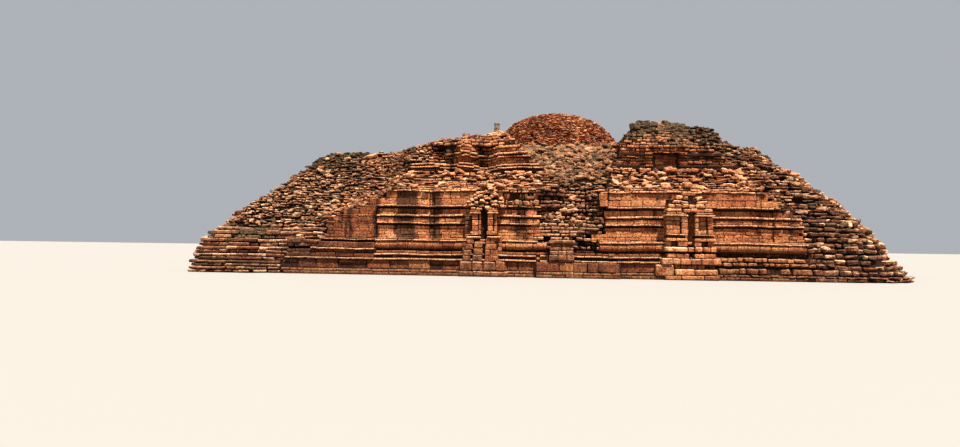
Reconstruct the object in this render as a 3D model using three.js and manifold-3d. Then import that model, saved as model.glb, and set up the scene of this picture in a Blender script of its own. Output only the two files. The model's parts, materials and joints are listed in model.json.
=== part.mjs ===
// Laterite stupa with a brick mound: two square tiers of moulded masonry with four stairs,
// eight false shrines and four collapsed corners, as it stands in ruin.
// Scale model at 1:2. Millimetres, +Z up, origin at the centre of the footprint on the ground.
import * as THREE from "three";
import { mergeVertices } from "three/addons/utils/BufferGeometryUtils.js";
import Module from "manifold-3d";

// ---------------------------------------------------------------- driving dimensions
const MODEL_SCALE = 1 / 2;
const UNIT = 975 * MODEL_SCALE; // mm of model for one layout unit (a unit is 0.975 m of the real stupa)
const GAP = 0.5; // mm kept between neighbouring pieces
const CORE_LOW = 23.0; // half width of the fill inside the lower tier
const CORE_HIGH = 14.0; // half width of the terrace inside the upper tier
const WALL_LEFT_END = -23.0; // where the left wall meets its collapsed corner
const WALL_RIGHT_END = 20.0; // where the right wall meets its collapsed corner
const STAIR_L = -3.6, STAIR_R = 3.6; // cheeks of the lower stair
const UP_STAIR = 4.6; // half width of the breach that holds the upper stair
const Z_FOOT = 0.5, Z_LEDGE = 9.9, Z_TERRACE = 13.9, Z_CREST = 15.6, Z_TOP = 20.36;
const SHRINES = { left: { a: -10.25, b: -6.15, slot: -8.2 }, right: { a: 7.5, b: 11.7, slot: 9.6 } };
const SHRINE_BACK = 30.0, SHRINE_FACE = 32.1;
const MOUND = { x: -0.2, y: 0, lean: -0.4 }; // centre of the brick mound and how far its top leans

// courses of the wall: [bottom, top, distance of the face from the centre]
const LOWER = [
  [0.5, 1.3, 31.4], [1.3, 1.8, 31.15], [1.8, 2.25, 30.9], [2.25, 2.45, 30.35],
  [2.45, 2.62, 30.75], [2.62, 3.0, 30.95], [3.0, 3.17, 30.75], [3.17, 4.46, 30.3],
  [4.46, 5.44, 30.5], [5.44, 6.06, 30.2], [6.06, 7.5, 30.5], [7.5, 7.9, 30.8],
  [7.9, 8.6, 29.2], [8.6, 9.3, 27.6], [9.3, 9.9, 26.3],
];
const UPPER = [
  [9.9, 10.25, 25.5], [10.25, 10.7, 25.75], [10.7, 11.6, 25.15], [11.6, 12.1, 25.45],
  [12.1, 12.9, 25.1], [12.9, 13.3, 25.4], [13.3, 13.9, 24.3],
];
// crest stones above the terrace: [bottom, top, outer face, inner face, left reach, right reach, outer face at the left]
const CREST = {
  frontAndBack: [[13.9, 14.5, 23.5, 17.6, -8.7, 16.0, 22.5], [14.5, 15.1, 22.7, 18.7, 0, 15.2, 22.7], [15.1, 15.6, 21.7, 19.8, 0, 11.6, 21.7]],
  leftAndRight: [[13.9, 14.5, 23.0, 17.6, -8.0, 0, 23.0]],
};
// collapse lines of the four corners: height against distance from the centre, at the left and right
// end of the front and back sides and of the two others
const SLOPES = {
  frontAndBack: {
    left: [[0.5, 31.6], [2.25, 30.6], [4.5, 28.6], [6.5, 26.6], [8.6, 24.0], [9.9, 22.4], [11, 21.0], [12, 19.4], [12.7, 17.7], [13.9, 15.5]],
    right: [[0.5, 32.2], [2.25, 31.5], [4.5, 30.0], [6.5, 28.2], [8.6, 26.2], [9.9, 25.2], [12, 23.2], [13.9, 21.0], [15, 19.5]],
  },
  leftAndRight: {
    left: [[0.3, 31.0], [0.9, 30.3], [2.25, 29.4], [3.2, 29.1], [4.5, 28.3], [6.5, 27.0], [7.5, 26.1], [8.6, 24.9], [9.9, 23.8], [11, 22.3], [12, 20.6], [13, 19.0], [13.9, 17.8], [15, 17.0]],
    right: [[0.5, 35.2], [2.25, 35.2], [3.2, 34.8], [4.5, 33.8], [6.5, 32.5], [8.6, 30.5], [9.9, 29.5], [12, 28.4], [12.7, 27.8], [13.0, 19.0], [13.9, 18.2]],
  },
};
// the corners are worn round: height against radius, at the right end of each kind of side
const CORNER_RADII = { frontAndBack: [[0, 8.5], [7.5, 8.5], [15, 6]], leftAndRight: [[0, 1.3], [15, 3.3]] };
// where sound masonry ends: height against distance along the side
const SOUND = {
  frontAndBack: {
    left: [[0.5, -26.5], [2.2, -26.0], [2.3, -23.3], [4.9, -22.7], [6.0, -20.6], [7.0, -17.6], [7.9, -16.5], [10, -16.0], [12, -15.2], [12.5, -14.4], [13.1, -12.2], [13.6, -9.2]],
    right: [[0.5, 23.3], [1.2, 22.6], [1.5, 19.8], [5.2, 19.4], [7.0, 16.8], [7.9, 15.6], [9.9, 17.5], [11, 16.5], [13.9, 14]],
  },
  leftAndRight: {
    left: [[0.5, -22], [4.5, -19.5], [6.5, -14], [7.5, -11.6], [9.9, -13], [11, -9.8], [12, -8.2], [13.9, -8.1]],
    right: [[0.5, 24.3], [1.5, 22], [5.2, 20.4], [7.9, 17], [9.9, 18], [12.9, 14], [13.35, 7], [13.9, 6]],
  },
};
const CORNER_STEPS = [0.5, 1.3, 2.25, 3.17, 4.46, 5.44, 6.5, 7.5, 8.6, 9.9, 10.7, 11.6, 12.1, 12.9, 13.3, 13.9];

// ---------------------------------------------------------------- helpers
const wasm = await Module();
wasm.setup();

const lerpTable = (table, z) => {
  if (z <= table[0][0]) return table[0][1];
  for (let i = 1; i < table.length; i++)
    if (z <= table[i][0]) {
      const [z0, v0] = table[i - 1], [z1, v1] = table[i];
      return v0 + ((v1 - v0) * (z - z0)) / (z1 - z0);
    }
  return table[table.length - 1][1];
};
const stepMid = (z) => {
  for (let i = 1; i < CORNER_STEPS.length; i++)
    if (z < CORNER_STEPS[i]) return (CORNER_STEPS[i - 1] + CORNER_STEPS[i]) / 2;
  return z;
};

function solid(geometry) {
  const g = geometry.index ? geometry.toNonIndexed() : geometry.clone();
  g.deleteAttribute("normal");
  g.deleteAttribute("uv");
  const m = mergeVertices(g, 1e-3);
  return new wasm.Manifold(new wasm.Mesh({
    numProp: 3, vertProperties: m.attributes.position.array, triVerts: new Uint32Array(m.index.array),
  }));
}
function geometryOf(manifold) {
  const mesh = manifold.getMesh();
  const g = new THREE.BufferGeometry();
  g.setAttribute("position", new THREE.BufferAttribute(new Float32Array(mesh.vertProperties), 3));
  g.setIndex(new THREE.BufferAttribute(new Uint32Array(mesh.triVerts), 1));
  g.computeVertexNormals();
  return g;
}
// quarter turns about Z, exact: side 0 faces -Y, 1 faces +X, 2 faces +Y, 3 faces -X
const turn = (x, y, side) => [[x, y], [-y, x], [-x, -y], [y, -x]][side];
function prism(points, z0, z1) { // points in layout units, counter-clockwise
  const shape = new THREE.Shape(points.map(([x, y]) => new THREE.Vector2(x * UNIT, y * UNIT)));
  const g = new THREE.ExtrudeGeometry(shape, { depth: (z1 - z0) * UNIT, bevelEnabled: false, steps: 1 });
  g.translate(0, 0, z0 * UNIT);
  return solid(g);
}
const EPS = GAP / 2 / UNIT;
// a box in one side's own frame: a..b along the side, n0..n1 outwards, z0..z1
function sideBox(side, a, b, n0, n1, z0, z1, e = EPS) {
  const p = [[a + e, -n1 + e], [b - e, -n1 + e], [b - e, -n0 - e], [a + e, -n0 - e]];
  return prism(p.map(([x, y]) => turn(x, y, side)), z0 + e, z1 - e);
}
const joinAll = (list) => list.reduce((a, b) => a.add(b));

// ---------------------------------------------------------------- the outline of one side at one height
// half widths of the breach above the stair, to its left and right
const breachL = (z) => Math.max(1.6, 2.2 + (z - 9.5) * 1.0), breachR = (z) => Math.max(2.6, 3.4 + (z - 9.5) * 0.45);
// Returns points [along, outwards]: a jump is two points at the same place along the side.
function outline(z, face, kind) {
  const zc = stepMid(z), slope = SLOPES[kind], sound = SOUND[kind], odd = kind === "leftAndRight";
  const soundL = lerpTable(sound.left, zc), soundR = lerpTable(sound.right, zc);
  const slopeL = lerpTable(slope.left, zc), slopeR = lerpTable(slope.right, zc);
  const ramp = 28.2 - (z - 7.9) * 1.9; // rubble in the breach above the lower stair
  const pts = [];
  const edge = (at, before, after) => pts.push([at, before], [at + 1e-4, after]);
  pts.push([-40, slopeL], [odd ? -22 : soundL - 2.4, slopeL]);
  if (z < 7.9) {
    // the left end is a plain wall above the roll
    const plain = z > 3.17 && !odd ? 30.05 : face;
    if (soundL < -18.1) { pts.push([soundL, plain]); edge(-18, plain, face); } else pts.push([soundL, face]);
    if (soundL < -13.3) { edge(-13.2, face, face - 0.35); edge(-12.6, face - 0.35, face); }
    edge(SHRINES.left.a, face, SHRINE_BACK); edge(SHRINES.left.b, SHRINE_BACK, face);
    edge(STAIR_L, face, stairFace(z, true));
    edge(-2.8, stairFace(z, true), stairFace(z, false)); edge(2.7, stairFace(z, false), stairFace(z, true));
    edge(STAIR_R, stairFace(z, true), face);
    edge(SHRINES.right.a, face, SHRINE_BACK); edge(SHRINES.right.b, SHRINE_BACK, face);
    if (soundR > 16.9) { edge(16.2, face, face - 0.35); edge(16.9, face - 0.35, face); }
    pts.push([soundR, face]);
  } else {
    const low = Math.min(face, Math.max(slopeL, face - 0.6)), bays = z >= Z_LEDGE && z < 13.3;
    const recess = z > 10.7 && z < 12.9 ? 0.85 : 0.45;
    pts.push([soundL, low], [soundL + 1.5, face]);
    if (bays && soundL < -12.1) { edge(-10.5, face, face - recess); edge(-7.3, face - recess, face); }
    edge(-breachL(z), face, Math.min(ramp, face)); edge(breachR(z), Math.min(ramp, face), face);
    if (bays) { edge(7.6, face, face - recess); edge(10.5, face - recess, face); }
    pts.push([soundR, face]);
  }
  const bulge = z < 9.9 ? 0.9 : 0.4;
  pts.push([soundR + 2.2, Math.min(slopeR - bulge, z < 2.3 ? 40 : face + 0.2)], [27, slopeR], [40, slopeR]);
  return pts;
}
// the lower stair: two cheeks and eleven steep steps between them
function stairFace(z, cheek) {
  if (z < 1.3) return 32.4;
  if (z < 2.45) return 32.1;
  if (cheek) return z < 7.5 ? 30.95 : 30.4;
  const step = Math.floor((z - 2.45) / 0.45);
  return 31.1 - step * 0.26;
}
function sideProfile(points, side) {
  const clean = points.filter((p, i) => i === 0 || Math.hypot(p[0] - points[i - 1][0], p[1] - points[i - 1][1]) > 1e-5);
  const ring = clean.map(([t, n]) => [t, -n]).concat([[40, 40], [-40, 40]]);
  return ring.map(([x, y]) => turn(x, y, side));
}
const kindOf = (side) => (side % 2 ? "leftAndRight" : "frontAndBack");
// what is worn off the corner at the right end of one side, past the rounding
function cornerCutter(side, z0, z1, extra) {
  const zc = stepMid((z0 + z1) / 2), kind = kindOf(side), next = kindOf(side + 1);
  const radius = lerpTable(CORNER_RADII[kind], zc), steps = radius > 4 ? 5 : 3;
  const n = lerpTable(SLOPES[kind].right, zc) + extra, t = lerpTable(SLOPES[next].left, zc) + extra;
  const pts = [];
  for (let i = 0; i <= steps; i++) {
    const a = (i / steps) * Math.PI / 2;
    pts.push([t - radius + radius * Math.sin(a), -(n - radius + radius * Math.cos(a))]);
  }
  pts.push([45, -(n - radius)], [45, -45], [t - radius, -45]);
  return prism(pts.reverse().map(([x, y]) => turn(x, y, side)), z0 - 0.01, z1 + 0.01);
}
function layer(z0, z1, ptsOf, extra = 0) { // ptsOf gives the outline of one kind of side
  let m = null;
  for (let side = 0; side < 4; side++) {
    const p = prism(sideProfile(ptsOf(kindOf(side)), side), z0, z1);
    m = m ? m.intersect(p) : p;
  }
  for (let side = 0; side < 4; side++) m = m.subtract(cornerCutter(side, z0, z1, extra));
  return m;
}
// stairs step at their own heights, so each course is cut again where a step falls inside it
function split(levels) {
  const cuts = [2.45, 2.9, 3.35, 3.8, 4.25, 4.7, 5.15, 5.6, 6.05, 6.5, 6.95, 7.4];
  return levels.map(([a, b, f]) => [a, b, f, cuts.filter((c) => c > a + 0.02 && c < b - 0.02)]);
}

// ---------------------------------------------------------------- the whole mass, course by course
const mass = [];
for (const [a, b, f, cuts] of split(LOWER)) {
  const mid = (a + b) / 2;
  let all = layer(a, b, (kind) => outline(mid, f, kind));
  if (cuts.length && b <= 7.9) {
    // carve the treads that fall inside this course
    const marks = [a, ...cuts, b];
    for (let i = 0; i + 1 < marks.length; i++) {
      const zm = (marks[i] + marks[i + 1]) / 2, n = stairFace(zm, false), base = stairFace(mid, false);
      if (Math.abs(n - base) < 1e-6) continue;
      for (let side = 0; side < 4; side++) {
        const box = (n0, n1) => prism([[-2.8, -n1], [2.7, -n1], [2.7, -n0], [-2.8, -n0]].map(([x, y]) => turn(x, y, side)), marks[i], marks[i + 1]);
        all = n < base ? all.subtract(box(n, base + 1)) : all.add(box(base - 1, n));
      }
    }
  }
  mass.push(all);
}
for (const [a, b, f] of UPPER) mass.push(layer(a, b, (kind) => outline((a + b) / 2, f, kind)));
for (let i = 0; i < CREST.frontAndBack.length; i++) {
  const [a, b, , inner] = CREST.frontAndBack[i], flat = CORE_HIGH - 0.5;
  const gapL = breachL((a + b) / 2), gapR = breachR((a + b) / 2) + 0.4;
  const crest = (kind) => {
    const row = CREST[kind][i];
    if (!row) return [[-40, flat], [40, flat]];
    const [, , outer, , left, right, outerL] = row, pts = [[-40, flat]];
    if (left < -gapL) pts.push([left - 0.4, flat], [left, outerL - 0.5], [-gapL - 0.8, outerL], [-gapL, outerL - 0.4], [-gapL + 1e-4, flat]);
    if (right > gapR) pts.push([gapR, flat], [gapR + 1e-4, outer - 0.4], [gapR + 1.4, outer], [right - 2, outer], [right, outer - 1.2], [right + 1e-4, flat]);
    pts.push([40, flat]);
    return pts;
  };
  // each side has its own crest: the four are joined, not cut by each other
  const rows = [0, 1, 2, 3].filter((side) => CREST[kindOf(side)][i]).map((side) =>
    prism(sideProfile(crest(kindOf(side)), side), a, b).intersect(sideBox(side, -26, 26, inner, 26, a - 0.1, b + 0.1, 0)));
  mass.push(joinAll(rows).intersect(layer(a, b, (kind) => {
    const s = SLOPES[kind], l = lerpTable(s.left, a), r = lerpTable(s.right, a);
    return [[-40, l], [-22, l], [-12, 25], [12, 25], [22, r], [40, r]];
  })));
}
const stupa = joinAll(mass);

// ---------------------------------------------------------------- materials
const laterite = new THREE.MeshStandardMaterial({ color: 0x9c5a34, roughness: 0.95, metalness: 0 });
const lateriteDark = new THREE.MeshStandardMaterial({ color: 0x7a4a30, roughness: 0.97, metalness: 0 });
const rubble = new THREE.MeshStandardMaterial({ color: 0x8a6046, roughness: 0.98, metalness: 0 });
const brick = new THREE.MeshStandardMaterial({ color: 0xa8502c, roughness: 0.95, metalness: 0 });
const earth = new THREE.MeshStandardMaterial({ color: 0x8d7350, roughness: 1, metalness: 0 });

// ---------------------------------------------------------------- the assembly
const group = new THREE.Group();
function put(name, manifold, material) {
  const bodies = manifold.decompose().sort((p, q) => q.volume() - p.volume());
  const mesh = new THREE.Mesh(geometryOf(bodies[0]), material);
  mesh.name = name;
  group.add(mesh);
}
const BIG = 36;

// the lowest course, wider than everything that stands on it
{
  const wide = (kind) => outline(0.9, 31.4, kind).map(([t, n]) => [t, n < 30.9 && Math.abs(t) < 12 ? 32.4 : n + (t < -27 && kind === "frontAndBack" ? 0.9 : 0.3)]);
  put("footing_course", layer(0, Z_FOOT - 2 * EPS, wide, 0.3), lateriteDark);
}
const SIDE_NAMES = ["front", "right", "back", "left"];
const TOP = Z_CREST + 0.5;
SIDE_NAMES.forEach((name, side) => {
  put(`${name}_wall_left`, stupa.intersect(sideBox(side, WALL_LEFT_END, STAIR_L, CORE_LOW, BIG, Z_FOOT, Z_LEDGE)), laterite);
  put(`${name}_wall_right`, stupa.intersect(sideBox(side, STAIR_R, WALL_RIGHT_END, CORE_LOW, BIG, Z_FOOT, Z_LEDGE)), laterite);
  put(`${name}_stair_lower`, stupa.intersect(sideBox(side, STAIR_L, STAIR_R, CORE_LOW, BIG, Z_FOOT, Z_LEDGE)), rubble);
  put(`${name}_upper_wall_left`, stupa.intersect(sideBox(side, -CORE_HIGH, -UP_STAIR, CORE_HIGH, BIG, Z_LEDGE, TOP)), laterite);
  put(`${name}_upper_wall_right`, stupa.intersect(sideBox(side, UP_STAIR, BIG, CORE_HIGH, BIG, Z_LEDGE, TOP)), laterite);
  put(`${name}_stair_upper`, stupa.intersect(sideBox(side, -UP_STAIR, UP_STAIR, CORE_HIGH, BIG, Z_LEDGE, TOP)), rubble);
  for (const [end, s] of Object.entries(SHRINES)) put(`${name}_shrine_${end}`, shrine(side, s), laterite);
});
["front_right", "back_right", "back_left", "front_left"].forEach((name, side) => {
  put(`corner_${name}`, stupa.intersect(sideBox(side, WALL_RIGHT_END, BIG, CORE_LOW, BIG, Z_FOOT, Z_LEDGE)), rubble);
});
const square = (h, z0, z1) => prism([[-h + EPS, -h + EPS], [h - EPS, -h + EPS], [h - EPS, h - EPS], [-h + EPS, h - EPS]], z0 + EPS, z1 - EPS);
put("lower_terrace_fill", stupa.intersect(square(CORE_LOW, Z_FOOT, Z_LEDGE)), rubble);
put("upper_terrace_fill", stupa.intersect(square(CORE_HIGH, Z_LEDGE, Z_TERRACE)), earth);

// a false shrine: stepped base, pillared body with a deep narrow niche, broken top
function shrine(side, s) {
  const mid = s.slot, w = (s.b - s.a) / 2, c = (s.a + s.b) / 2, B = SHRINE_BACK;
  const box = (a, b, n1, z0, z1) => sideBox(side, a, b, B, n1, z0, z1, 0);
  const e = EPS;
  let m = joinAll([
    box(c - w + e, c + w - e, SHRINE_FACE + 0.1, Z_FOOT + e, 1.3),
    box(c - w + 0.15, c + w - 0.15, SHRINE_FACE - 0.1, 1.3, 2.05),
    box(c - w + e, c + w - e, SHRINE_FACE, 2.05, 2.45),
    box(c - w + 0.25, c + w - 0.25, SHRINE_FACE - 0.35, 2.45, 3.35),
    box(c - w + 0.45, c + w - 0.45, SHRINE_FACE - 0.55, 3.35, 5.6),
    box(c - w + 0.25, c + w - 0.25, SHRINE_FACE - 0.4, 5.6, 5.95),
    box(c - w + 0.5, c + w - 0.55, SHRINE_FACE - 0.6, 5.95, 6.6),
    box(c - w + 0.8, c + w - 0.9, SHRINE_FACE - 0.75, 6.6, 7.2),
    box(c - 0.9, c + 0.8, SHRINE_FACE - 0.9, 7.2, 7.75),
    box(c - 0.5, c + 0.45, SHRINE_FACE - 1.1, 7.75, 8.3),
    box(mid - 0.75, mid - 0.3, SHRINE_FACE - 0.3, 2.45, 5.95),
    box(mid + 0.3, mid + 0.75, SHRINE_FACE - 0.3, 2.45, 5.95),
  ]);
  const niche = (a, b, n0, z0, z1) => sideBox(side, a, b, n0, SHRINE_FACE + 1, z0, z1, 0);
  m = m.subtract(niche(mid - 0.27, mid + 0.27, SHRINE_FACE - 1.3, 2.75, 5.75));
  // pull the back face off the wall
  return m.intersect(sideBox(side, s.a, s.b, B, BIG, Z_FOOT, 9, e));
}

// the brick mound: a lathe-turned dome, eroded more on one side
{
  const profile = [[0, 13.9], [8.8, 13.9], [8.4, 14.9], [7.8, 16.1], [7.1, 17.4], [6.2, 18.6], [5.1, 19.35], [3.7, 19.87], [2.2, 20.2], [0, Z_TOP]];
  const g = new THREE.LatheGeometry(profile.map(([r, z]) => new THREE.Vector2(r, z)), 24);
  g.rotateX(Math.PI / 2);
  const p = g.attributes.position;
  for (let i = 0; i < p.count; i++) {
    const z = p.getZ(i), k = (z - 13.9) / (Z_TOP - 13.9), x = p.getX(i), y = p.getY(i);
    const a = Math.atan2(y, x), r = Math.hypot(x, y) * (1 + 0.07 * Math.cos(4 * a + 0.4) * (1 - k) + 0.03 * Math.sin(3 * a));
    p.setXYZ(i, (Math.cos(a) * r + MOUND.x + MOUND.lean * k) * UNIT, (Math.sin(a) * r + MOUND.y) * UNIT, (z + (k <= 0 ? EPS : 0)) * UNIT);
  }
  put("brick_mound", solid(g), brick);
}
// an upright stone on the crest beside the front stair
put("standing_stone", prism([[-7.95, -21.35], [-7.4, -21.4], [-7.35, -20.95], [-7.9, -20.9]], 14.5 + EPS, 15.45), lateriteDark);

export default group;
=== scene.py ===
# Looks of the ruined laterite stupa: every course is laid block by block around the frame.
# All tables are in layout units (one unit is 0.975 m of the real stupa, 0.4875 m of the half-size model).
import bpy, json, math
import numpy as np
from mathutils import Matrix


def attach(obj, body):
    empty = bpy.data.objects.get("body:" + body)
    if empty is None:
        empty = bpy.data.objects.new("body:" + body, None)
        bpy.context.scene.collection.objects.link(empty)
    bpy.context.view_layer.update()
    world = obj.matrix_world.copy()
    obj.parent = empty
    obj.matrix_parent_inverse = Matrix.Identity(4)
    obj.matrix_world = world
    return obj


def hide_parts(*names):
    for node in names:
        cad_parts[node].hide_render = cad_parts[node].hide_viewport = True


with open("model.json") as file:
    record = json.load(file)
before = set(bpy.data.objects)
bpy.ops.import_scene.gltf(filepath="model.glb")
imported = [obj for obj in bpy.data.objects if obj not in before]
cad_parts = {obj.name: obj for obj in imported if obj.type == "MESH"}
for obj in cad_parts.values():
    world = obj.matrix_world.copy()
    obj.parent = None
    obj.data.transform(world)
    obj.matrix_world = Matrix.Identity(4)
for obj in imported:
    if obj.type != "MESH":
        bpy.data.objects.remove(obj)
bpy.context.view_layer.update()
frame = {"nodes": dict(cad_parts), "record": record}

U = 0.4875
SEED = 41
rng = np.random.default_rng(SEED)
T_FRONT = dict(frontAndBack=0, leftAndRight=1)

# ------------------------------------------------------------------ the shape of the ruin
SLOPES = {
    0: dict(
        left=[[0.5, 31.6], [2.25, 30.6], [4.5, 28.6], [6.5, 26.6], [8.6, 24.0], [9.9, 22.4], [11, 21.0], [12, 19.4], [12.7, 17.7], [13.9, 15.5]],
        right=[[0.5, 32.2], [2.25, 31.5], [4.5, 30.0], [6.5, 28.2], [8.6, 26.2], [9.9, 25.2], [12, 23.2], [13.9, 21.0], [15, 19.5]]),
    1: dict(
        left=[[0.3, 31.0], [0.9, 30.3], [2.25, 29.4], [3.2, 29.1], [4.5, 28.3], [6.5, 27.0], [7.5, 26.1], [8.6, 24.9], [9.9, 23.8], [11, 22.3],
              [12, 20.6], [13, 19.0], [13.9, 17.8], [15, 17.0]],
        right=[[0.5, 35.2], [2.25, 35.2], [3.2, 34.8], [4.5, 33.8], [6.5, 32.5], [8.6, 30.5], [9.9, 29.5], [12, 28.4], [12.7, 27.6], [13.0, 19.0], [13.9, 18.2]]),
}
RADII = {0: [[0, 8.5], [7.5, 8.5], [15, 6]], 1: [[0, 1.3], [15, 3.3]]}
SOUND = {
    0: dict(left=[[0.5, -26.5], [2.2, -26.0], [2.3, -23.3], [4.9, -22.7], [6.0, -20.6], [7.0, -17.6], [7.9, -16.5], [10, -16.0], [12, -15.2], [12.5, -14.4],
                  [13.1, -12.2], [13.6, -9.2]],
            right=[[0.5, 23.3], [1.2, 22.6], [1.5, 19.8], [5.2, 19.4], [7.0, 16.8], [7.9, 15.6], [9.9, 17.5], [11, 16.5], [13.9, 14]]),
    1: dict(left=[[0.5, -22], [4.5, -19.5], [6.5, -14], [7.5, -11.6], [9.9, -13], [11, -9.8], [12, -8.2], [13.9, -8.1]],
            right=[[0.5, 24.3], [1.5, 22], [5.2, 20.4], [7.9, 17], [9.9, 18], [12.9, 14], [13.35, 7], [13.9, 6]]),
}
COARSE = [(0.0, 0.5, 31.7), (0.5, 1.3, 31.4), (1.3, 1.8, 31.15), (1.8, 2.25, 30.9), (2.25, 2.45, 30.35),
          (2.45, 2.62, 30.75), (2.62, 3.0, 30.95), (3.0, 3.17, 30.75), (3.17, 4.46, 30.3),
          (4.46, 5.44, 30.5), (5.44, 6.06, 30.2), (6.06, 7.5, 30.5), (7.5, 7.9, 30.8),
          (7.9, 8.6, 29.2), (8.6, 9.3, 27.6), (9.3, 9.9, 26.3),
          (9.9, 10.25, 25.5), (10.25, 10.7, 25.75), (10.7, 11.6, 25.15), (11.6, 12.1, 25.45),
          (12.1, 12.9, 25.1), (12.9, 13.3, 25.4), (13.3, 13.9, 24.3), (13.9, 14.5, 23.4), (14.5, 15.1, 22.6), (15.1, 15.6, 21.6)]
SHRINES = dict(left=(-10.25, -6.15, -8.2), right=(7.5, 11.7, 9.6))
SIDES = ["front", "right", "back", "left"]


def lerp(table, z):
    return float(np.interp(z, [p[0] for p in table], [p[1] for p in table]))


def face_of(z):
    for a, b, r in COARSE:
        if z < b:
            return r
    return 21.0


def breach(z):
    return max(1.6, 2.2 + (z - 9.5)), max(2.6, 3.4 + (z - 9.5) * 0.45)


def ramp_at(z):
    return 28.2 - (z - 7.9) * 1.9


def stair_face(z, cheek):
    if z < 1.3:
        return 32.35
    if z < 2.45:
        return 32.05
    if cheek:
        return 30.95 if z < 7.5 else 30.4
    return 31.1 - math.floor((z - 2.45) / 0.45) * 0.26


def outline(kind, z, face):
    """The wall line of one side at one height: (along, outwards, zone of the edge that starts here)."""
    sl, so = SLOPES[kind], SOUND[kind]
    s_l, s_r = lerp(so["left"], z), lerp(so["right"], z)
    r_l, r_r = lerp(sl["left"], z), lerp(sl["right"], z)
    kerb = 0.75 if z < 0.5 and kind == 0 else 0.0
    pts = []

    def edge(at, before, after, zone):
        pts.append((at, before, zone)); pts.append((at + 1e-4, after, zone))

    if kerb:
        pts.append((-40, r_l + kerb, "L")); pts.append((-28.6, r_l + kerb, "L"))
        pts.append((-27.6, r_l, "L"))
    else:
        pts.append((-40, r_l, "L")); pts.append((-22 if kind else min(s_l - 2.4, -18.7 if z > 9.9 else 0), r_l, "L"))
    if z < 7.9:
        plain = 30.05 if z > 3.19 and not kind else face
        if s_l < -18.1:
            pts.append((s_l, plain, "P" if plain != face or (not kind and 1.4 < z < 3.2) else "S")); edge(-18, plain, face, "S")
        else:
            pts.append((s_l, face, "S"))
        groove = 0.28 if z > 3.3 else 0.0
        if s_l < -13.3 and groove:
            edge(-13.2, face, face - groove, "S"); edge(-12.7, face - groove, face, "S")
        ck, tr = stair_face(z, True), stair_face(z, False)
        if z < 2.45:
            edge(-3.6, face, ck if z < 1.34 else face + 0.12, "S")
            if z > 1.34:
                edge(-2.45, face + 0.12, ck, "S"); edge(-0.4, ck, face - 0.05, "S"); edge(2.7, face - 0.05, face + 0.15, "S"); edge(3.6, face + 0.15, face, "S")
            else:
                edge(3.6, ck, face, "S")
        else:
            jl = 0.42 * math.sin(z * 5.1 + 0.6) + 0.26 * math.sin(z * 12.3)
            lip = min(ck, face - 0.15)
            edge(-3.35 + jl, face, lip, "T")
            pts.append((-2.75 + jl, lip, "T")); pts.append((-1.1 + jl * 0.5, tr, "T"))
            if z < 3.9:  # a dark pocket beside the block at the foot of the stair
                edge(-0.1, tr, tr - 0.75, "T"); edge(1.65, tr - 0.75, tr, "T"); edge(1.9, tr, face, "S")
            else:
                pts.append((0.9, tr, "T")); pts.append((1.9, ck - 0.35, "T"))
                if z > 6.3: edge(2.0, ck - 0.35, ck, "K")
            if z > 6.3:
                edge(2.62, ck, face - 0.35, "S"); edge(2.78, face - 0.35, face, "S")
            elif z >= 3.9:
                edge(2.45 + 0.3 * jl, face - 0.45, face - 0.02, "S")
        if s_r > 17.9 and groove:  # a slim pilaster near the end of the wall
            edge(16.95, face, face + 0.22, "S"); edge(17.62, face + 0.22, face, "S")
        pts.append((s_r, face, "R"))
    else:
        low = min(face, max(r_l, face - 0.6))
        bays = 9.9 <= z < 13.3
        rec = 0.95 if 10.7 < z < 12.9 else 0.5
        bl, br = breach(z)
        rp = min(ramp_at(z), face)
        if kind == 0 and 9.9 <= z < 12.7:
            if z < 10.85:  # only the foot of the bay is left
                pts.append((s_l, low, "S")); pts.append((s_l + 1.5, face, "S"))
                edge(-11.95, face + 0.1, face - 0.75, "S")
            else:
                worn = max(r_l, 25.0 - (z - 10.8) * 1.45)
                pts += [(-18.6, r_l, "L"), (-16.4, worn, "L")]
                edge(-11.95, worn, face - 0.5, "S")
            for i in range(1, 34):  # the wall swings out in a lobe and back into a hollow
                t = -11.95 + 0.15 * i
                if t < -10.6: d = 0.75 * (0.5 + 0.5 * math.cos(math.pi * (t + 11.95) / 1.35))
                elif t < -8.5: d = 1.35 * (0.5 - 0.5 * math.cos(math.pi * (t + 10.6) / 2.1))
                else: d = 1.35 * (0.5 + 0.5 * math.cos(math.pi * min(1.0, (t + 8.5) / 1.5)))
                pts.append((t, face - d, "S"))
        else:
            pts.append((s_l, low, "S")); pts.append((s_l + 1.5, face, "S"))
            if bays and s_l + 1.5 < -12.4:
                pts += [(-12.3, face, "S"), (-11.5, face - rec, "S"), (-9.4, face - rec, "S"), (-8.4, face - rec * 0.45, "S"), (-7.4, face, "S")]
        pts += [(-bl, face, "C"), (-bl + 1e-4, rp, "B")]
        if 8.8 < z < 9.8:  # a dark hollow under the lip of the earth
            edge(0.1, rp, rp - 1.5, "B"); edge(1.9, rp - 1.5, rp, "B")
        pts += [(br, rp, "C"), (br + 1e-4, face, "S")]
        if 10.36 < z < 11.88:  # a plain sunken panel under a lintel
            pts += [(7.5, face, "Q"), (7.62, 24.3, "Q"), (10.0, 24.3, "Q"), (10.12, face, "S")]
        pts.append((s_r, face, "R"))
    bulge = 0.9 if z < 9.9 else 0.4
    pts.append((s_r + 2.2, min(r_r - bulge, 40 if z < 2.3 else face + 0.2), "R"))
    pts.append((27, r_r, "R")); pts.append((40, r_r, "R"))
    return pts


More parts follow.
